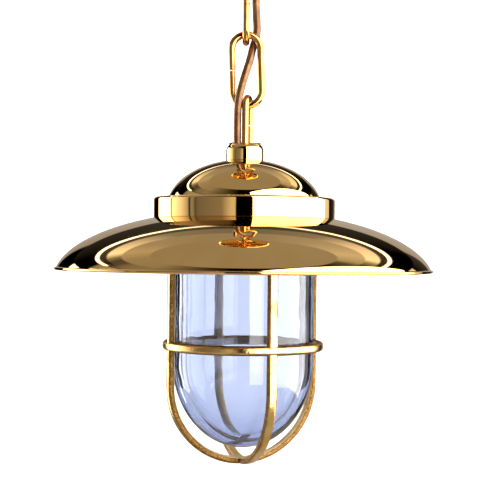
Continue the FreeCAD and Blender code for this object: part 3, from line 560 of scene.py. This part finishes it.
def smoothLine(name, points):
    # a smooth spline that has the route's points as its control points
    curve = bpy.data.curves.new(name, "CURVE")
    curve.dimensions = "3D"
    spline = curve.splines.new("NURBS")
    spline.points.add(len(points) - 1)
    for point, where in zip(spline.points, points):
        point.co = (*where, 1.0)
    spline.order_u = 3
    spline.use_endpoint_u = True
    spline.resolution_u = 12
    holder = bpy.data.objects.new(name, curve)
    mesh = bpy.data.meshes.new_from_object(holder)
    line = [Vector(v.co) for v in mesh.vertices]
    bpy.data.meshes.remove(mesh)
    bpy.data.objects.remove(holder)
    bpy.data.curves.remove(curve)
    return line


def makeCable():
    for name, span in cableSpans.items():
        line = smoothLine("route_" + name, span["points"])
        piece = tube("cable_" + name, line, cable["diameter"] / 2)
        piece.data.materials.append(sheath)
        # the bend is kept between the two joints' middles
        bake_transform(piece)
        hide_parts(span["node"])


makeCable()
print("stage: cable made")


links = {
    "upper": {"node": "chain_link_upper", "body": "upper_link", "wire": 4.8 * mm, "long": 52.0 * mm,
              "wide": 24.0 * mm, "gap": 0.9 * mm, "turn": -90.0, "lean": 0.0, "gapSide": 1},
    "middle": {"node": "chain_link_middle", "body": "middle_link", "wire": 4.8 * mm, "long": 52.0 * mm,
               "wide": 24.0 * mm, "gap": 0.9 * mm, "turn": 0.0, "lean": -2.2, "gapSide": -1},
    "lower": {"node": "chain_link_lower", "body": "lower_link", "wire": 4.6 * mm, "long": 40.5 * mm,
              "wide": 16.4 * mm, "gap": 0.9 * mm, "turn": 75.0, "lean": 0.0, "gapSide": 1},
}


def wireTree():
    # a round wire drawn along the host curve, its cut ends capped
    tree, given = newTree("wireAlongPath", {"Wire": 0.004, "Sides": 40})
    half = addNode(tree, "ShaderNodeMath", {0: given["Wire"], 1: 0.5}, operation="MULTIPLY")
    circle = addNode(
        tree, "GeometryNodeCurvePrimitiveCircle", {"Resolution": given["Sides"], "Radius": half.outputs[0]},
    )
    wire = addNode(
        tree, "GeometryNodeCurveToMesh",
        {"Curve": given["Geometry"], "Profile Curve": circle.outputs[0], "Fill Caps": True},
    )
    endTree(tree, wire.outputs[0], given["Material"])
    return tree


def linkPath(name, size):
    # the middle of the wire, from one side of the closing gap round to the other
    bend = (size["wide"] - size["wire"]) / 2
    straight = (size["long"] - size["wide"]) / 2
    side, gap = size["gapSide"], size["gap"] / 2
    path = [(side * bend, 0, z) for z in np.linspace(gap, straight, 8)]
    for angle in np.linspace(0, math.pi, 33)[1:]:
        path.append((side * bend * math.cos(angle), 0, straight + bend * math.sin(angle)))
    path += [(-side * bend, 0, z) for z in np.linspace(straight, -straight, 12)[1:]]
    for angle in np.linspace(0, math.pi, 33)[1:]:
        path.append((-side * bend * math.cos(angle), 0, -straight - bend * math.sin(angle)))
    path += [(side * bend, 0, z) for z in np.linspace(-straight, -gap, 8)[1:]]
    curve = bpy.data.curves.new(name, "CURVE")
    curve.dimensions = "3D"
    spline = curve.splines.new("POLY")
    spline.points.add(len(path) - 1)
    for point, where in zip(spline.points, path):
        point.co = (*where, 1.0)
    return curve


def makeLink(name, tree):
    size = links[name]
    host = bpy.data.objects.new("link_path_" + name, linkPath("link_path_" + name, size))
    bpy.context.scene.collection.objects.link(host)
    useTree(host, tree, {"Wire": size["wire"], "Sides": 40}, linkBrass)
    mesh = bpy.data.meshes.new_from_object(host.evaluated_get(bpy.context.evaluated_depsgraph_get()))
    bpy.data.objects.remove(host)
    piece = bpy.data.objects.new("link_" + name, mesh)
    bpy.context.scene.collection.objects.link(piece)
    low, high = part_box(size["node"])
    centre = Vector([(a + b) / 2 for a, b in zip(low, high)])
    turn = Matrix.Rotation(math.radians(size["turn"]), 4, "Z")
    lean = Matrix.Rotation(math.radians(size["lean"]), 4, "Y")
    mesh.transform(Matrix.Translation(centre) @ lean @ turn)
    tidyMesh(piece, 50)
    standsFor(piece, size["node"], size["body"], linkBrass)


chainTree = wireTree()
for linkName in links:
    makeLink(linkName, chainTree)


spun = {"shadeWide": 126.0 * mm, "shadeFall": 5.9 * mm, "shadeSheet": 1.0 * mm, "bead": 1.1 * mm,
        "collarWall": 10.5 * mm, "collarRound": 2.0 * mm, "domeWall": 1.5 * mm, "domeFlat": 12.6 * mm,
        "domeFall": 6.7 * mm, "skirt": 3.5 * mm, "hole": 10.1 * mm, "overlap": 0.5 * mm, "play": 0.1 * mm,
        "edge": 0.35 * mm, "ledge": 4.5 * mm, "ledgeStep": 3.0 * mm, "padRing": 4.0 * mm}
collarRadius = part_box("collar_ring")[1][0]
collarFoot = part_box("collar_ring")[0][2]
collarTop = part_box("collar_ring")[1][2]
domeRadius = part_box("dome_cap")[1][0]
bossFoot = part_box("dome_cap")[1][2]


def makeShade():
    wide, fall, sheet, bead = spun["shadeWide"], spun["shadeFall"], spun["shadeSheet"], spun["bead"]
    meet = collarRadius + spun["overlap"]
    tall = (collarFoot - rimLevel + fall) / math.sqrt(1 - (meet / wide) ** 2)
    centre = rimLevel - fall
    beadAt = wide * math.sqrt(1 - (fall / tall) ** 2) - sheet / 2
    startAngle = math.degrees(math.asin((fall + 2 * bead) / tall))
    endAngle = math.degrees(math.acos(meet / wide))
    outside = arc((0, centre), wide, tall, startAngle, endAngle, 96)
    inside = arc((0, centre), wide - sheet, tall - sheet, endAngle, startAngle, 96)
    rim = arc((beadAt, rimLevel + bead), bead, bead, -200, 40, 24)
    seatHole = collarRadius - spun["collarWall"]
    outline = [(seatHole, collarFoot - sheet), (seatHole, collarFoot), *reversed(outside)]
    outline += [*reversed(rim), *reversed(inside)]
    piece = lathe("shade_spun", outline, segments=384, sharp=40)
    standsFor(piece, "shade", "lamp", brass)


def makeCollar():
    inside = collarRadius - spun["collarWall"]
    corner = spun["collarRound"]
    seat = domeRadius + spun["play"]
    step = collarTop - spun["skirt"]
    small = spun["edge"]
    outline = [(inside, collarFoot), (collarRadius - small, collarFoot)]
    outline += arc((collarRadius - small, collarFoot + small), small, small, -90, 0, 5)
    outline += arc((collarRadius - corner, collarTop - corner), corner, corner, 0, 90, 14)
    outline += [(seat + small, collarTop), (seat, collarTop - small), (seat, step)]
    ledge, under = seat - spun["ledge"], step - spun["ledgeStep"]
    outline += [(ledge, step), (ledge, under), (inside, under)]
    piece = lathe("collar_turned", outline, segments=320)
    standsFor(piece, "collar_ring", "lamp", brass)


def makeDome():
    # the ellipse's centre lies below the dome's foot: it passes through the foot and the flat top's edge
    flat, wall, fall = spun["domeFlat"], spun["domeWall"], spun["domeFall"]
    high = bossFoot - collarTop + fall
    share = (domeRadius * high) ** 2 - (flat * fall) ** 2
    wide = math.sqrt(share / (high ** 2 - fall ** 2))
    full = math.sqrt(share / (domeRadius ** 2 - flat ** 2))
    centre = collarTop - fall
    low = collarTop - spun["skirt"] + spun["play"]
    startAngle = math.degrees(math.asin(fall / full))
    edge = math.degrees(math.acos(flat / wide))
    pad = flat + spun["padRing"]
    innerStart = math.degrees(math.asin(fall / (full - wall)))
    innerEdge = math.degrees(math.acos(pad / (wide - wall)))
    outline = [(domeRadius - spun["play"], low), (domeRadius - spun["play"], collarTop)]
    outline += arc((0, centre), wide, full, startAngle, edge, 72)
    outline += [(spun["hole"], bossFoot), (spun["hole"], bossFoot - wall)]
    outline += arc((0, centre), wide - wall, full - wall, innerEdge, innerStart, 48)
    outline += [(domeRadius - wall, low)]
    piece = lathe("dome_spun", outline, segments=320)
    standsFor(piece, "dome_cap", "lamp", brass)


makeShade()
makeCollar()
makeDome()

boss = {"radius": 12.5 * mm, "band": 6.6 * mm, "dome": 7.7 * mm, "mouthRadius": 10.4 * mm,
        "mouthHalf": 7.8 * mm, "chamber": 7.5 * mm, "register": 10.0 * mm, "depth": 8.0 * mm,
        "spigot": 6.0 * mm, "bore": 4.0 * mm, "pin": 1.75 * mm, "pinHeight": 10.45 * mm,
        "pinHalf": 10.6 * mm, "edge": 0.3 * mm, "softened": 0.25 * mm, "floor": 1.0 * mm,
        "chamberFoot": 4.0 * mm, "funnel": 3.0 * mm, "chamberTop": 1.5 * mm, "beyond": 30.0 * mm}


def makeBoss():
    foot = bossFoot
    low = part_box("suspension_boss")[0][2]
    small = boss["edge"]
    outline = [(0.0, low), (boss["spigot"], low), (boss["spigot"], foot - boss["depth"])]
    outline += [(boss["register"], foot - boss["depth"]), (boss["register"], foot)]
    outline += arc((boss["radius"] - small, foot + small), small, small, -90, 0, 4)
    outline += arc((0, foot + boss["band"]), boss["radius"], boss["dome"], 0, 90, 28)[:-1]
    outline += [(0.0, foot + boss["band"] + boss["dome"])]
    body = lathe("boss_turned", outline, segments=128)
    mouthOutline = []
    mouthRadius = boss["mouthRadius"]
    limit = math.degrees(math.acos(boss["mouthHalf"] / mouthRadius))
    for start in (limit, 180 + limit):
        mouthOutline += arc((0, 0), mouthRadius, mouthRadius, start, start + 180 - 2 * limit, 28)
    count = len(mouthOutline)
    heights = (foot + boss["floor"], foot + boss["beyond"])
    vertices = [(x, y, z) for z in heights for x, y in mouthOutline]
    faces = [[i, (i + 1) % count, (i + 1) % count + count, i + count] for i in range(count)]
    faces += [list(range(count))[::-1], [i + count for i in range(count)]]
    mouth = meshObject("mouth_tool", vertices, faces)
    chamberFoot = foot - boss["depth"] + boss["chamberFoot"]
    chamberTop = foot + boss["chamberTop"]
    under = low - boss["floor"]
    chamberOutline = [(0, under), (boss["bore"], under), (boss["bore"], chamberFoot - boss["funnel"])]
    chamberOutline += [(boss["chamber"], chamberFoot), (boss["chamber"], chamberTop), (0, chamberTop)]
    chamber = lathe("chamber_tool", chamberOutline, segments=64)
    cutWith(body, [mouth, chamber])
    soften = body.modifiers.new("soften", "BEVEL")
    soften.width = boss["softened"]
    soften.segments = 2
    soften.limit_method = "ANGLE"
    soften.angle_limit = math.radians(40)
    applied(body)
    tidyMesh(body)
    standsFor(body, "suspension_boss", "lamp", brass)


def makePin():
    # the hinge pin of the last link: its ends stop where the boss turns in to its dome
    half, level = boss["pinHalf"], bossFoot + boss["pinHeight"]
    pin = tube("pin_turned", [(x, 0, level) for x in np.linspace(-half, half, 9)], boss["pin"])
    standsFor(pin, "boss_pin", "lamp", steel)


makeBoss()
makePin()
print("stage: brass body made")


jar = {"radius": 47.0 * mm, "wall": 5.0 * mm, "lip": 5.5 * mm, "lipWide": 4.5 * mm, "straight": 79.8 * mm,
       "bottom": 57.0 * mm, "floor": 7.0 * mm, "round": 1.2 * mm}


def makeJar():
    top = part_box("glass_jar")[1][2]
    bend = top - jar["straight"]
    radius, wall = jar["radius"], jar["wall"]
    lipRadius = radius + jar["lipWide"]
    soft = jar["round"]
    outline = [(0.0, bend - jar["bottom"])]
    outline += arc((0, bend), radius, jar["bottom"], -90, 0, 90)[1:]
    outline += [(radius, z) for z in np.linspace(bend, top - jar["lip"], 24)[1:]]
    outline += arc((lipRadius - soft, top - jar["lip"] + soft), soft, soft, -90, 0, 5)
    outline += arc((lipRadius - soft, top - soft), soft, soft, 0, 90, 5)
    outline += arc((radius - wall + soft, top - soft), soft, soft, 90, 180, 5)
    outline += [(radius - wall, z) for z in np.linspace(top - soft, bend, 24)[1:]]
    outline += arc((0, bend), radius - wall, jar["bottom"] - jar["floor"], 0, -90, 90)[1:-1]
    outline += [(0.0, bend - jar["bottom"] + jar["floor"])]
    piece = lathe("jar_pressed", outline, segments=256, sharp=60)
    standsFor(piece, "glass_jar", "guard", glass)


makeJar()


guard = {"Radius": guardRadius, "Bar Width": 7.0 * mm, "Bar Depth": 4.8 * mm, "Bar Corner": 2.3 * mm,
         "Straight": 89.3 * mm, "Bars": 4, "Turn": math.radians(21.8 - 90), "Band Drop": 63.4 * mm,
         "Band Height": 6.4 * mm, "Band Depth": 5.0 * mm, "Band Proud": 0.6 * mm, "Flange Bore": 48.0 * mm,
         "Flange Rim": 58.85 * mm, "Flange Height": 4.0 * mm}
casting = {"voxel": 0.45 * mm, "smoothing": 3, "kept": 0.3, "cornerSteps": 4, "hoopSteps": 240,
           "barSteps": 120, "bandCorner": 2.4 * mm, "flangeCorner": 0.2 * mm}


def barSection(tree, wide, high, corner):
    # a rectangle with cut corners, across a path
    box = addNode(tree, "GeometryNodeCurvePrimitiveQuadrilateral", {"Width": wide, "Height": high})
    return addNode(
        tree, "GeometryNodeFilletCurve",
        {"Curve": box.outputs[0], "Count": casting["cornerSteps"], "Radius": corner, "Limit Radius": True},
        mode="POLY",
    ).outputs[0]


def hoop(tree, outer, inner, height, level, corner):
    # a ring of rectangular section round the axis
    total = addNode(tree, "ShaderNodeMath", {0: outer, 1: inner}, operation="ADD")
    middle = addNode(tree, "ShaderNodeMath", {0: total.outputs[0], 1: 0.5}, operation="MULTIPLY")
    depth = addNode(tree, "ShaderNodeMath", {0: outer, 1: inner}, operation="SUBTRACT")
    circle = addNode(
        tree, "GeometryNodeCurvePrimitiveCircle",
        {"Resolution": casting["hoopSteps"], "Radius": middle.outputs[0]},
    )
    section = barSection(tree, depth.outputs[0], height, corner)
    ring = addNode(tree, "GeometryNodeCurveToMesh", {"Curve": circle.outputs[0], "Profile Curve": section})
    lift = addNode(tree, "ShaderNodeCombineXYZ", {"Z": level})
    return addNode(
        tree, "GeometryNodeTransform", {"Geometry": ring.outputs[0], "Translation": lift.outputs[0]},
    ).outputs[0]


def cageTree():
    # bars that run down beside the glass and meet under it, repeated round the axis; a band; a flange
    tree, given = newTree("castCage", guard)
    middle = addNode(
        tree, "ShaderNodeMath", {0: given["Bar Depth"], 1: -0.5, 2: given["Radius"]},
        operation="MULTIPLY_ADD",
    ).outputs[0]
    whole = addNode(
        tree, "ShaderNodeMath", {0: middle, 1: math.pi / 2, 2: given["Straight"]}, operation="MULTIPLY_ADD",
    ).outputs[0]
    under = addNode(tree, "ShaderNodeMath", {0: whole, 1: -1.0}, operation="MULTIPLY").outputs[0]
    foot = addNode(tree, "ShaderNodeCombineXYZ", {"Z": under})
    line = addNode(tree, "GeometryNodeCurvePrimitiveLine", {"End": foot.outputs[0]})
    points = addNode(
        tree, "GeometryNodeResampleCurve", {"Curve": line.outputs[0], "Count": casting["barSteps"]},
    )
    # how far down each point is decides whether it lies on the straight part or on the quarter turn
    gone = addNode(tree, "GeometryNodeSplineParameter").outputs["Length"]
    down = addNode(tree, "ShaderNodeMath", {0: gone, 1: given["Straight"]}, operation="MINIMUM").outputs[0]
    past = addNode(tree, "ShaderNodeMath", {0: gone, 1: given["Straight"]}, operation="SUBTRACT").outputs[0]
    bent = addNode(tree, "ShaderNodeMath", {0: past, 1: 0.0}, operation="MAXIMUM").outputs[0]
    turned = addNode(tree, "ShaderNodeMath", {0: bent, 1: middle}, operation="DIVIDE").outputs[0]
    cosine = addNode(tree, "ShaderNodeMath", {0: turned}, operation="COSINE").outputs[0]
    sine = addNode(tree, "ShaderNodeMath", {0: turned}, operation="SINE").outputs[0]
    out = addNode(tree, "ShaderNodeMath", {0: middle, 1: cosine}, operation="MULTIPLY").outputs[0]
    fallen = addNode(
        tree, "ShaderNodeMath", {0: middle, 1: sine, 2: down}, operation="MULTIPLY_ADD",
    ).outputs[0]
    level = addNode(tree, "ShaderNodeMath", {0: fallen, 1: -1.0}, operation="MULTIPLY").outputs[0]
    where = addNode(tree, "ShaderNodeCombineXYZ", {"X": out, "Z": level})
    path = addNode(
        tree, "GeometryNodeSetPosition", {"Geometry": points.outputs[0], "Position": where.outputs[0]},
    )
    held = addNode(
        tree, "GeometryNodeSetCurveNormal", {"Curve": path.outputs[0], "Normal": (0.0, 1.0, 0.0)},
        mode="FREE",
    )
    section = barSection(tree, given["Bar Width"], given["Bar Depth"], given["Bar Corner"])
    bar = addNode(
        tree, "GeometryNodeCurveToMesh",
        {"Curve": held.outputs[0], "Profile Curve": section, "Fill Caps": True},
    )
    count = addNode(tree, "GeometryNodePoints", {"Count": given["Bars"]})
    index = addNode(tree, "GeometryNodeInputIndex").outputs[0]
    share = addNode(
        tree, "ShaderNodeMath", {0: 2 * math.pi, 1: given["Bars"]}, operation="DIVIDE",
    ).outputs[0]
    angle = addNode(
        tree, "ShaderNodeMath", {0: index, 1: share, 2: given["Turn"]}, operation="MULTIPLY_ADD",
    ).outputs[0]
    spin = addNode(tree, "ShaderNodeCombineXYZ", {"Z": angle})
    bars = addNode(
        tree, "GeometryNodeInstanceOnPoints",
        {"Points": count.outputs[0], "Instance": bar.outputs[0], "Rotation": spin.outputs[0]},
    )
    proud = addNode(
        tree, "ShaderNodeMath", {0: given["Radius"], 1: given["Band Proud"]}, operation="ADD",
    ).outputs[0]
    inside = addNode(
        tree, "ShaderNodeMath", {0: proud, 1: given["Band Depth"]}, operation="SUBTRACT",
    ).outputs[0]
    bandLevel = addNode(
        tree, "ShaderNodeMath", {0: given["Band Drop"], 1: -1.0}, operation="MULTIPLY",
    ).outputs[0]
    band = hoop(tree, proud, inside, given["Band Height"], bandLevel, casting["bandCorner"])
    flangeLevel = addNode(
        tree, "ShaderNodeMath", {0: given["Flange Height"], 1: -0.5}, operation="MULTIPLY",
    ).outputs[0]
    rim, bore = given["Flange Rim"], given["Flange Bore"]
    flange = hoop(tree, rim, bore, given["Flange Height"], flangeLevel, casting["flangeCorner"])
    cage = addNode(tree, "GeometryNodeJoinGeometry")
    for part in (bars.outputs[0], band, flange):
        tree.links.new(part, cage.inputs[0])
    endTree(tree, cage.outputs[0], given["Material"])
    return tree


def makeGuard():
    # one casting: bars, band and flange grow together with small fillets where they meet
    piece = bpy.data.objects.new("guard_cast", bpy.data.meshes.new("guard_cast"))
    bpy.context.scene.collection.objects.link(piece)
    useTree(piece, cageTree(), guard, brassCast)
    grown = piece.modifiers.new("grown", "REMESH")
    grown.mode = "VOXEL"
    grown.voxel_size = casting["voxel"]
    soft = piece.modifiers.new("soft", "SMOOTH")
    soft.iterations = casting["smoothing"]
    soft.factor = 0.5
    fewer = piece.modifiers.new("fewer", "DECIMATE")
    fewer.ratio = casting["kept"]
    applied(piece)
    piece.data.transform(Matrix.Translation((0, 0, guardTop)))
    piece.data.polygons.foreach_set("use_smooth", [True] * len(piece.data.polygons))
    piece.data.update()
    standsFor(piece, "cage_guard", "guard", brassCast)


makeGuard()
print("stage: glass and guard made")

for node in ("ceiling_plate", "body_ring", "guard_retaining_ring"):
    finish(node, brass)
finish("ceiling_eye", linkBrass)
for node in ("eye_nut", "spigot_washer", "spigot_nut", "body_screws", "bridge_bar", "earth_screw",
             "lampholder_pillars", "lampholder_screws"):
    finish(node, steel)
for node in ("cable_bush", "boss_seal_ring", "shade_gasket", "glass_gasket"):
    finish(node, rubber)
finish("lampholder_body", porcelain)
for node in ("lampholder_sleeve", "centre_contact", "terminal_screws"):
    finish(node, contactBrass)
finish("core_live", coreBrown)
finish("core_neutral", coreBlue)
finish("core_earth", coreGreen)


studio = {"floorDrop": 0.55, "front": -3.5, "wallBack": 3.2, "wide": 2.4, "bend": 1.2, "high": 3.0}


def makeStage():
    # a pale floor that curves up into a wall behind
    floor = cadBox[0][2] - studio["floorDrop"]
    back, bend = studio["wallBack"], studio["bend"]
    line = [(studio["front"], floor), (back - bend, floor)]
    for angle in np.linspace(0, math.pi / 2, 17)[1:]:
        line.append((back - bend + bend * math.sin(angle), floor + bend * (1 - math.cos(angle))))
    line.append((back, studio["high"]))
    vertices = [(x, y, z) for y, z in line for x in (-studio["wide"] / 2, studio["wide"] / 2)]
    faces = [[2 * i, 2 * i + 1, 2 * i + 3, 2 * i + 2] for i in range(len(line) - 1)]
    sheet = newPiece("studio_floor", vertices, faces)
    sheet.data.polygons.foreach_set("use_smooth", [True] * len(faces))
    material, tree = newMaterial("paperWhite")
    where = addNode(tree, "ShaderNodeTexCoord").outputs["Object"]
    grain = addNode(tree, "ShaderNodeTexNoise", {"Vector": where, "Scale": 40.0, "Detail": 2.0})
    tint = addNode(
        tree, "ShaderNodeValToRGB", {"Fac": grain.outputs["Fac"]},
        [(0.3, linear("F7F7F7")), (0.7, linear("FAFAFA"))],
    )
    shader = addNode(
        tree, "ShaderNodeBsdfPrincipled", {"Base Color": tint.outputs["Color"], "Roughness": 0.9},
    )
    addNode(tree, "ShaderNodeOutputMaterial", {"Surface": shader.outputs["BSDF"]})
    sheet.data.materials.append(material)
    sheet.visible_glossy = False


# what polished brass shows, from the level upwards: softboxes, dark flags and a mid-tone ceiling. Each
# layer ends at an angle above the level and is a ring of (azimuth, brightness), where 0 degrees is in front,
# positive to the right, and 1 is white paper
surround = [
    {"upTo": 21, "ring": [
        (-180, 0.46), (-160, 0.38), (-158, 0.0), (-137, 0.0), (-135, 6.0), (-106, 6.0), (-105, 0.1),
        (-103, 0.1), (-102, 2.4), (-90, 1.5), (-74, 0.5), (-73, 0.04), (-71, 0.04), (-70, 0.4), (-66, 0.3),
        (-64, 0.1), (-60, 0.2), (-28, 0.3), (-16, 0.8), (-11, 0.8), (-10, 0.0), (118, 0.0), (121, 1.2),
        (134, 1.0), (135, 0.0), (156, 0.05), (158, 0.44), (180, 0.46),
    ]},
    {"upTo": 34.6, "ring": [
        (-180, 0.05), (-137, 0.0), (-116, 0.0), (-112, 0.35), (-92, 0.45), (-70, 0.3), (-60, 0.16),
        (-20, 0.12), (-12, 0.0), (118, 0.0), (150, 0.0), (180, 0.05),
    ]},
    {"upTo": 36.2, "ring": [
        (-180, 0.8), (-150, 6.0), (-108, 6.0), (-104, 0.1), (-60, 0.16), (-12, 0.0), (108, 0.0), (112, 6.0),
        (150, 6.0), (180, 0.8),
    ]},
    {"upTo": 40, "ring": [
        (-180, 0.06), (-160, 0.1), (-130, 0.06), (-108, 0.02), (-100, 0.1), (-92, 0.25), (-70, 0.3),
        (-40, 0.12), (-12, 0.0), (98, 0.0), (104, 0.02), (140, 0.06), (160, 0.1), (180, 0.06),
    ]},
    {"upTo": 47, "ring": [
        (-180, 0.2), (-164, 0.3), (-152, 0.8), (-134, 1.5), (-122, 0.3), (-112, 0.1), (-100, 0.12),
        (-92, 0.25), (-70, 0.3), (-40, 0.12), (-12, 0.0), (96, 0.0), (104, 0.1), (114, 0.4), (124, 1.5),
        (150, 1.0), (164, 0.3), (180, 0.2),
    ]},
    {"upTo": 58, "ring": [
        (-180, 0.34), (-150, 0.42), (-132, 0.58), (-110, 0.4), (-70, 0.34), (-52, 0.2), (-28, 0.05),
        (-10, 0.0), (78, 0.02), (98, 0.12), (108, 0.5), (130, 0.75), (160, 0.45), (180, 0.34),
    ]},
]
studioLight = {"brightest": 6.0, "ceiling": 0.37, "floor": 0.5, "floorEdge": -24, "plain": 1.05,
               "warmth": "FFF9EE"}
# the main softbox: a flat panel on the right, its middle at this azimuth and its top edge at this height
panel = {"middle": 50, "top": 56, "left": 11, "right": 122, "bottom": -24, "soft": 0.01}


def grey(brightness):
    return (brightness / studioLight["brightest"],) * 3 + (1.0,)


def blendAt(tree, height, angle, below, above):
    # one colour under the angle and the other over it, with an edge one degree soft
    limits = [math.sin(math.radians(angle + side)) for side in (-0.5, 0.5)]
    share = addNode(
        tree, "ShaderNodeMapRange", {"Value": height, "From Min": limits[0], "From Max": limits[1]},
    )
    mix = addNode(tree, "ShaderNodeMix", {0: share.outputs["Result"], 6: below, 7: above}, data_type="RGBA")
    return mix.outputs[2]


def panelShare(tree, towards):
    # 1 inside the softbox and 0 outside it: each straight edge is a plane through the middle of the scene
    middle, left, right = [math.radians(panel[edge]) for edge in ("middle", "left", "right")]
    rise = math.tan(math.radians(panel["top"]))
    edges = [
        Vector((math.sin(middle) * rise, -math.cos(middle) * rise, -1.0)).normalized(),
        Vector((math.cos(left), math.sin(left), 0.0)),
        Vector((-math.cos(right), -math.sin(right), 0.0)),
    ]
    inside = addNode(tree, "ShaderNodeValue").outputs[0]
    inside.default_value = 1.0
    for edge in edges:
        beyond = addNode(tree, "ShaderNodeVectorMath", {0: towards, 1: edge}, operation="DOT_PRODUCT")
        soft = addNode(
            tree, "ShaderNodeMapRange",
            {"Value": beyond.outputs["Value"], "From Min": -panel["soft"], "From Max": panel["soft"]},
        )
        inside = addNode(
            tree, "ShaderNodeMath", {0: inside, 1: soft.outputs["Result"]}, operation="MINIMUM",
        ).outputs[0]
    return inside


def makeWorld():
    world = bpy.data.worlds.new("studio")
    bpy.context.scene.world = world
    world.use_nodes = True
    tree = world.node_tree
    tree.nodes.clear()
    towards = addNode(tree, "ShaderNodeTexCoord").outputs["Generated"]
    parts = addNode(tree, "ShaderNodeSeparateXYZ", {"Vector": towards})
    height = parts.outputs["Z"]
    front = addNode(tree, "ShaderNodeMath", {0: parts.outputs["Y"], 1: -1.0}, operation="MULTIPLY")
    azimuth = addNode(
        tree, "ShaderNodeMath", {0: parts.outputs["X"], 1: front.outputs[0]}, operation="ARCTAN2",
    )
    share = addNode(
        tree, "ShaderNodeMapRange",
        {"Value": azimuth.outputs[0], "From Min": -math.pi, "From Max": math.pi},
    )
    low, edge = grey(studioLight["floor"]), studioLight["floorEdge"]
    whole = low
    for layer in surround:
        stops = [((angle + 180) / 360, grey(brightness)) for angle, brightness in layer["ring"]]
        ring = addNode(tree, "ShaderNodeValToRGB", {"Fac": share.outputs["Result"]}, stops).outputs["Color"]
        whole = blendAt(tree, height, edge, whole, ring)
        edge = layer["upTo"]
    whole = blendAt(tree, height, edge, whole, grey(studioLight["ceiling"]))
    lit = addNode(
        tree, "ShaderNodeMix", {0: panelShare(tree, towards), 6: whole, 7: grey(studioLight["brightest"])},
        data_type="RGBA",
    )
    whole = blendAt(tree, height, panel["bottom"], low, lit.outputs[2])
    tinted = addNode(
        tree, "ShaderNodeMix", {0: 1.0, 6: whole, 7: linear(studioLight["warmth"])},
        data_type="RGBA", blend_type="MULTIPLY",
    )
    mirrored = addNode(
        tree, "ShaderNodeBackground", {"Color": tinted.outputs[2], "Strength": studioLight["brightest"]},
    )
    plain = addNode(tree, "ShaderNodeBackground", {"Color": (1, 1, 1, 1), "Strength": studioLight["plain"]})
    path = addNode(tree, "ShaderNodeLightPath")
    seen = addNode(
        tree, "ShaderNodeMath",
        {0: path.outputs["Is Camera Ray"], 1: path.outputs["Is Diffuse Ray"]}, operation="MAXIMUM",
    )
    chosen = addNode(
        tree, "ShaderNodeMixShader", {0: seen.outputs[0], 1: mirrored.outputs[0], 2: plain.outputs[0]},
    )
    addNode(tree, "ShaderNodeOutputWorld", {"Surface": chosen.outputs[0]})


makeStage()
makeWorld()
bpy.context.scene.view_settings.view_transform = "Standard"
print("stage: studio made")
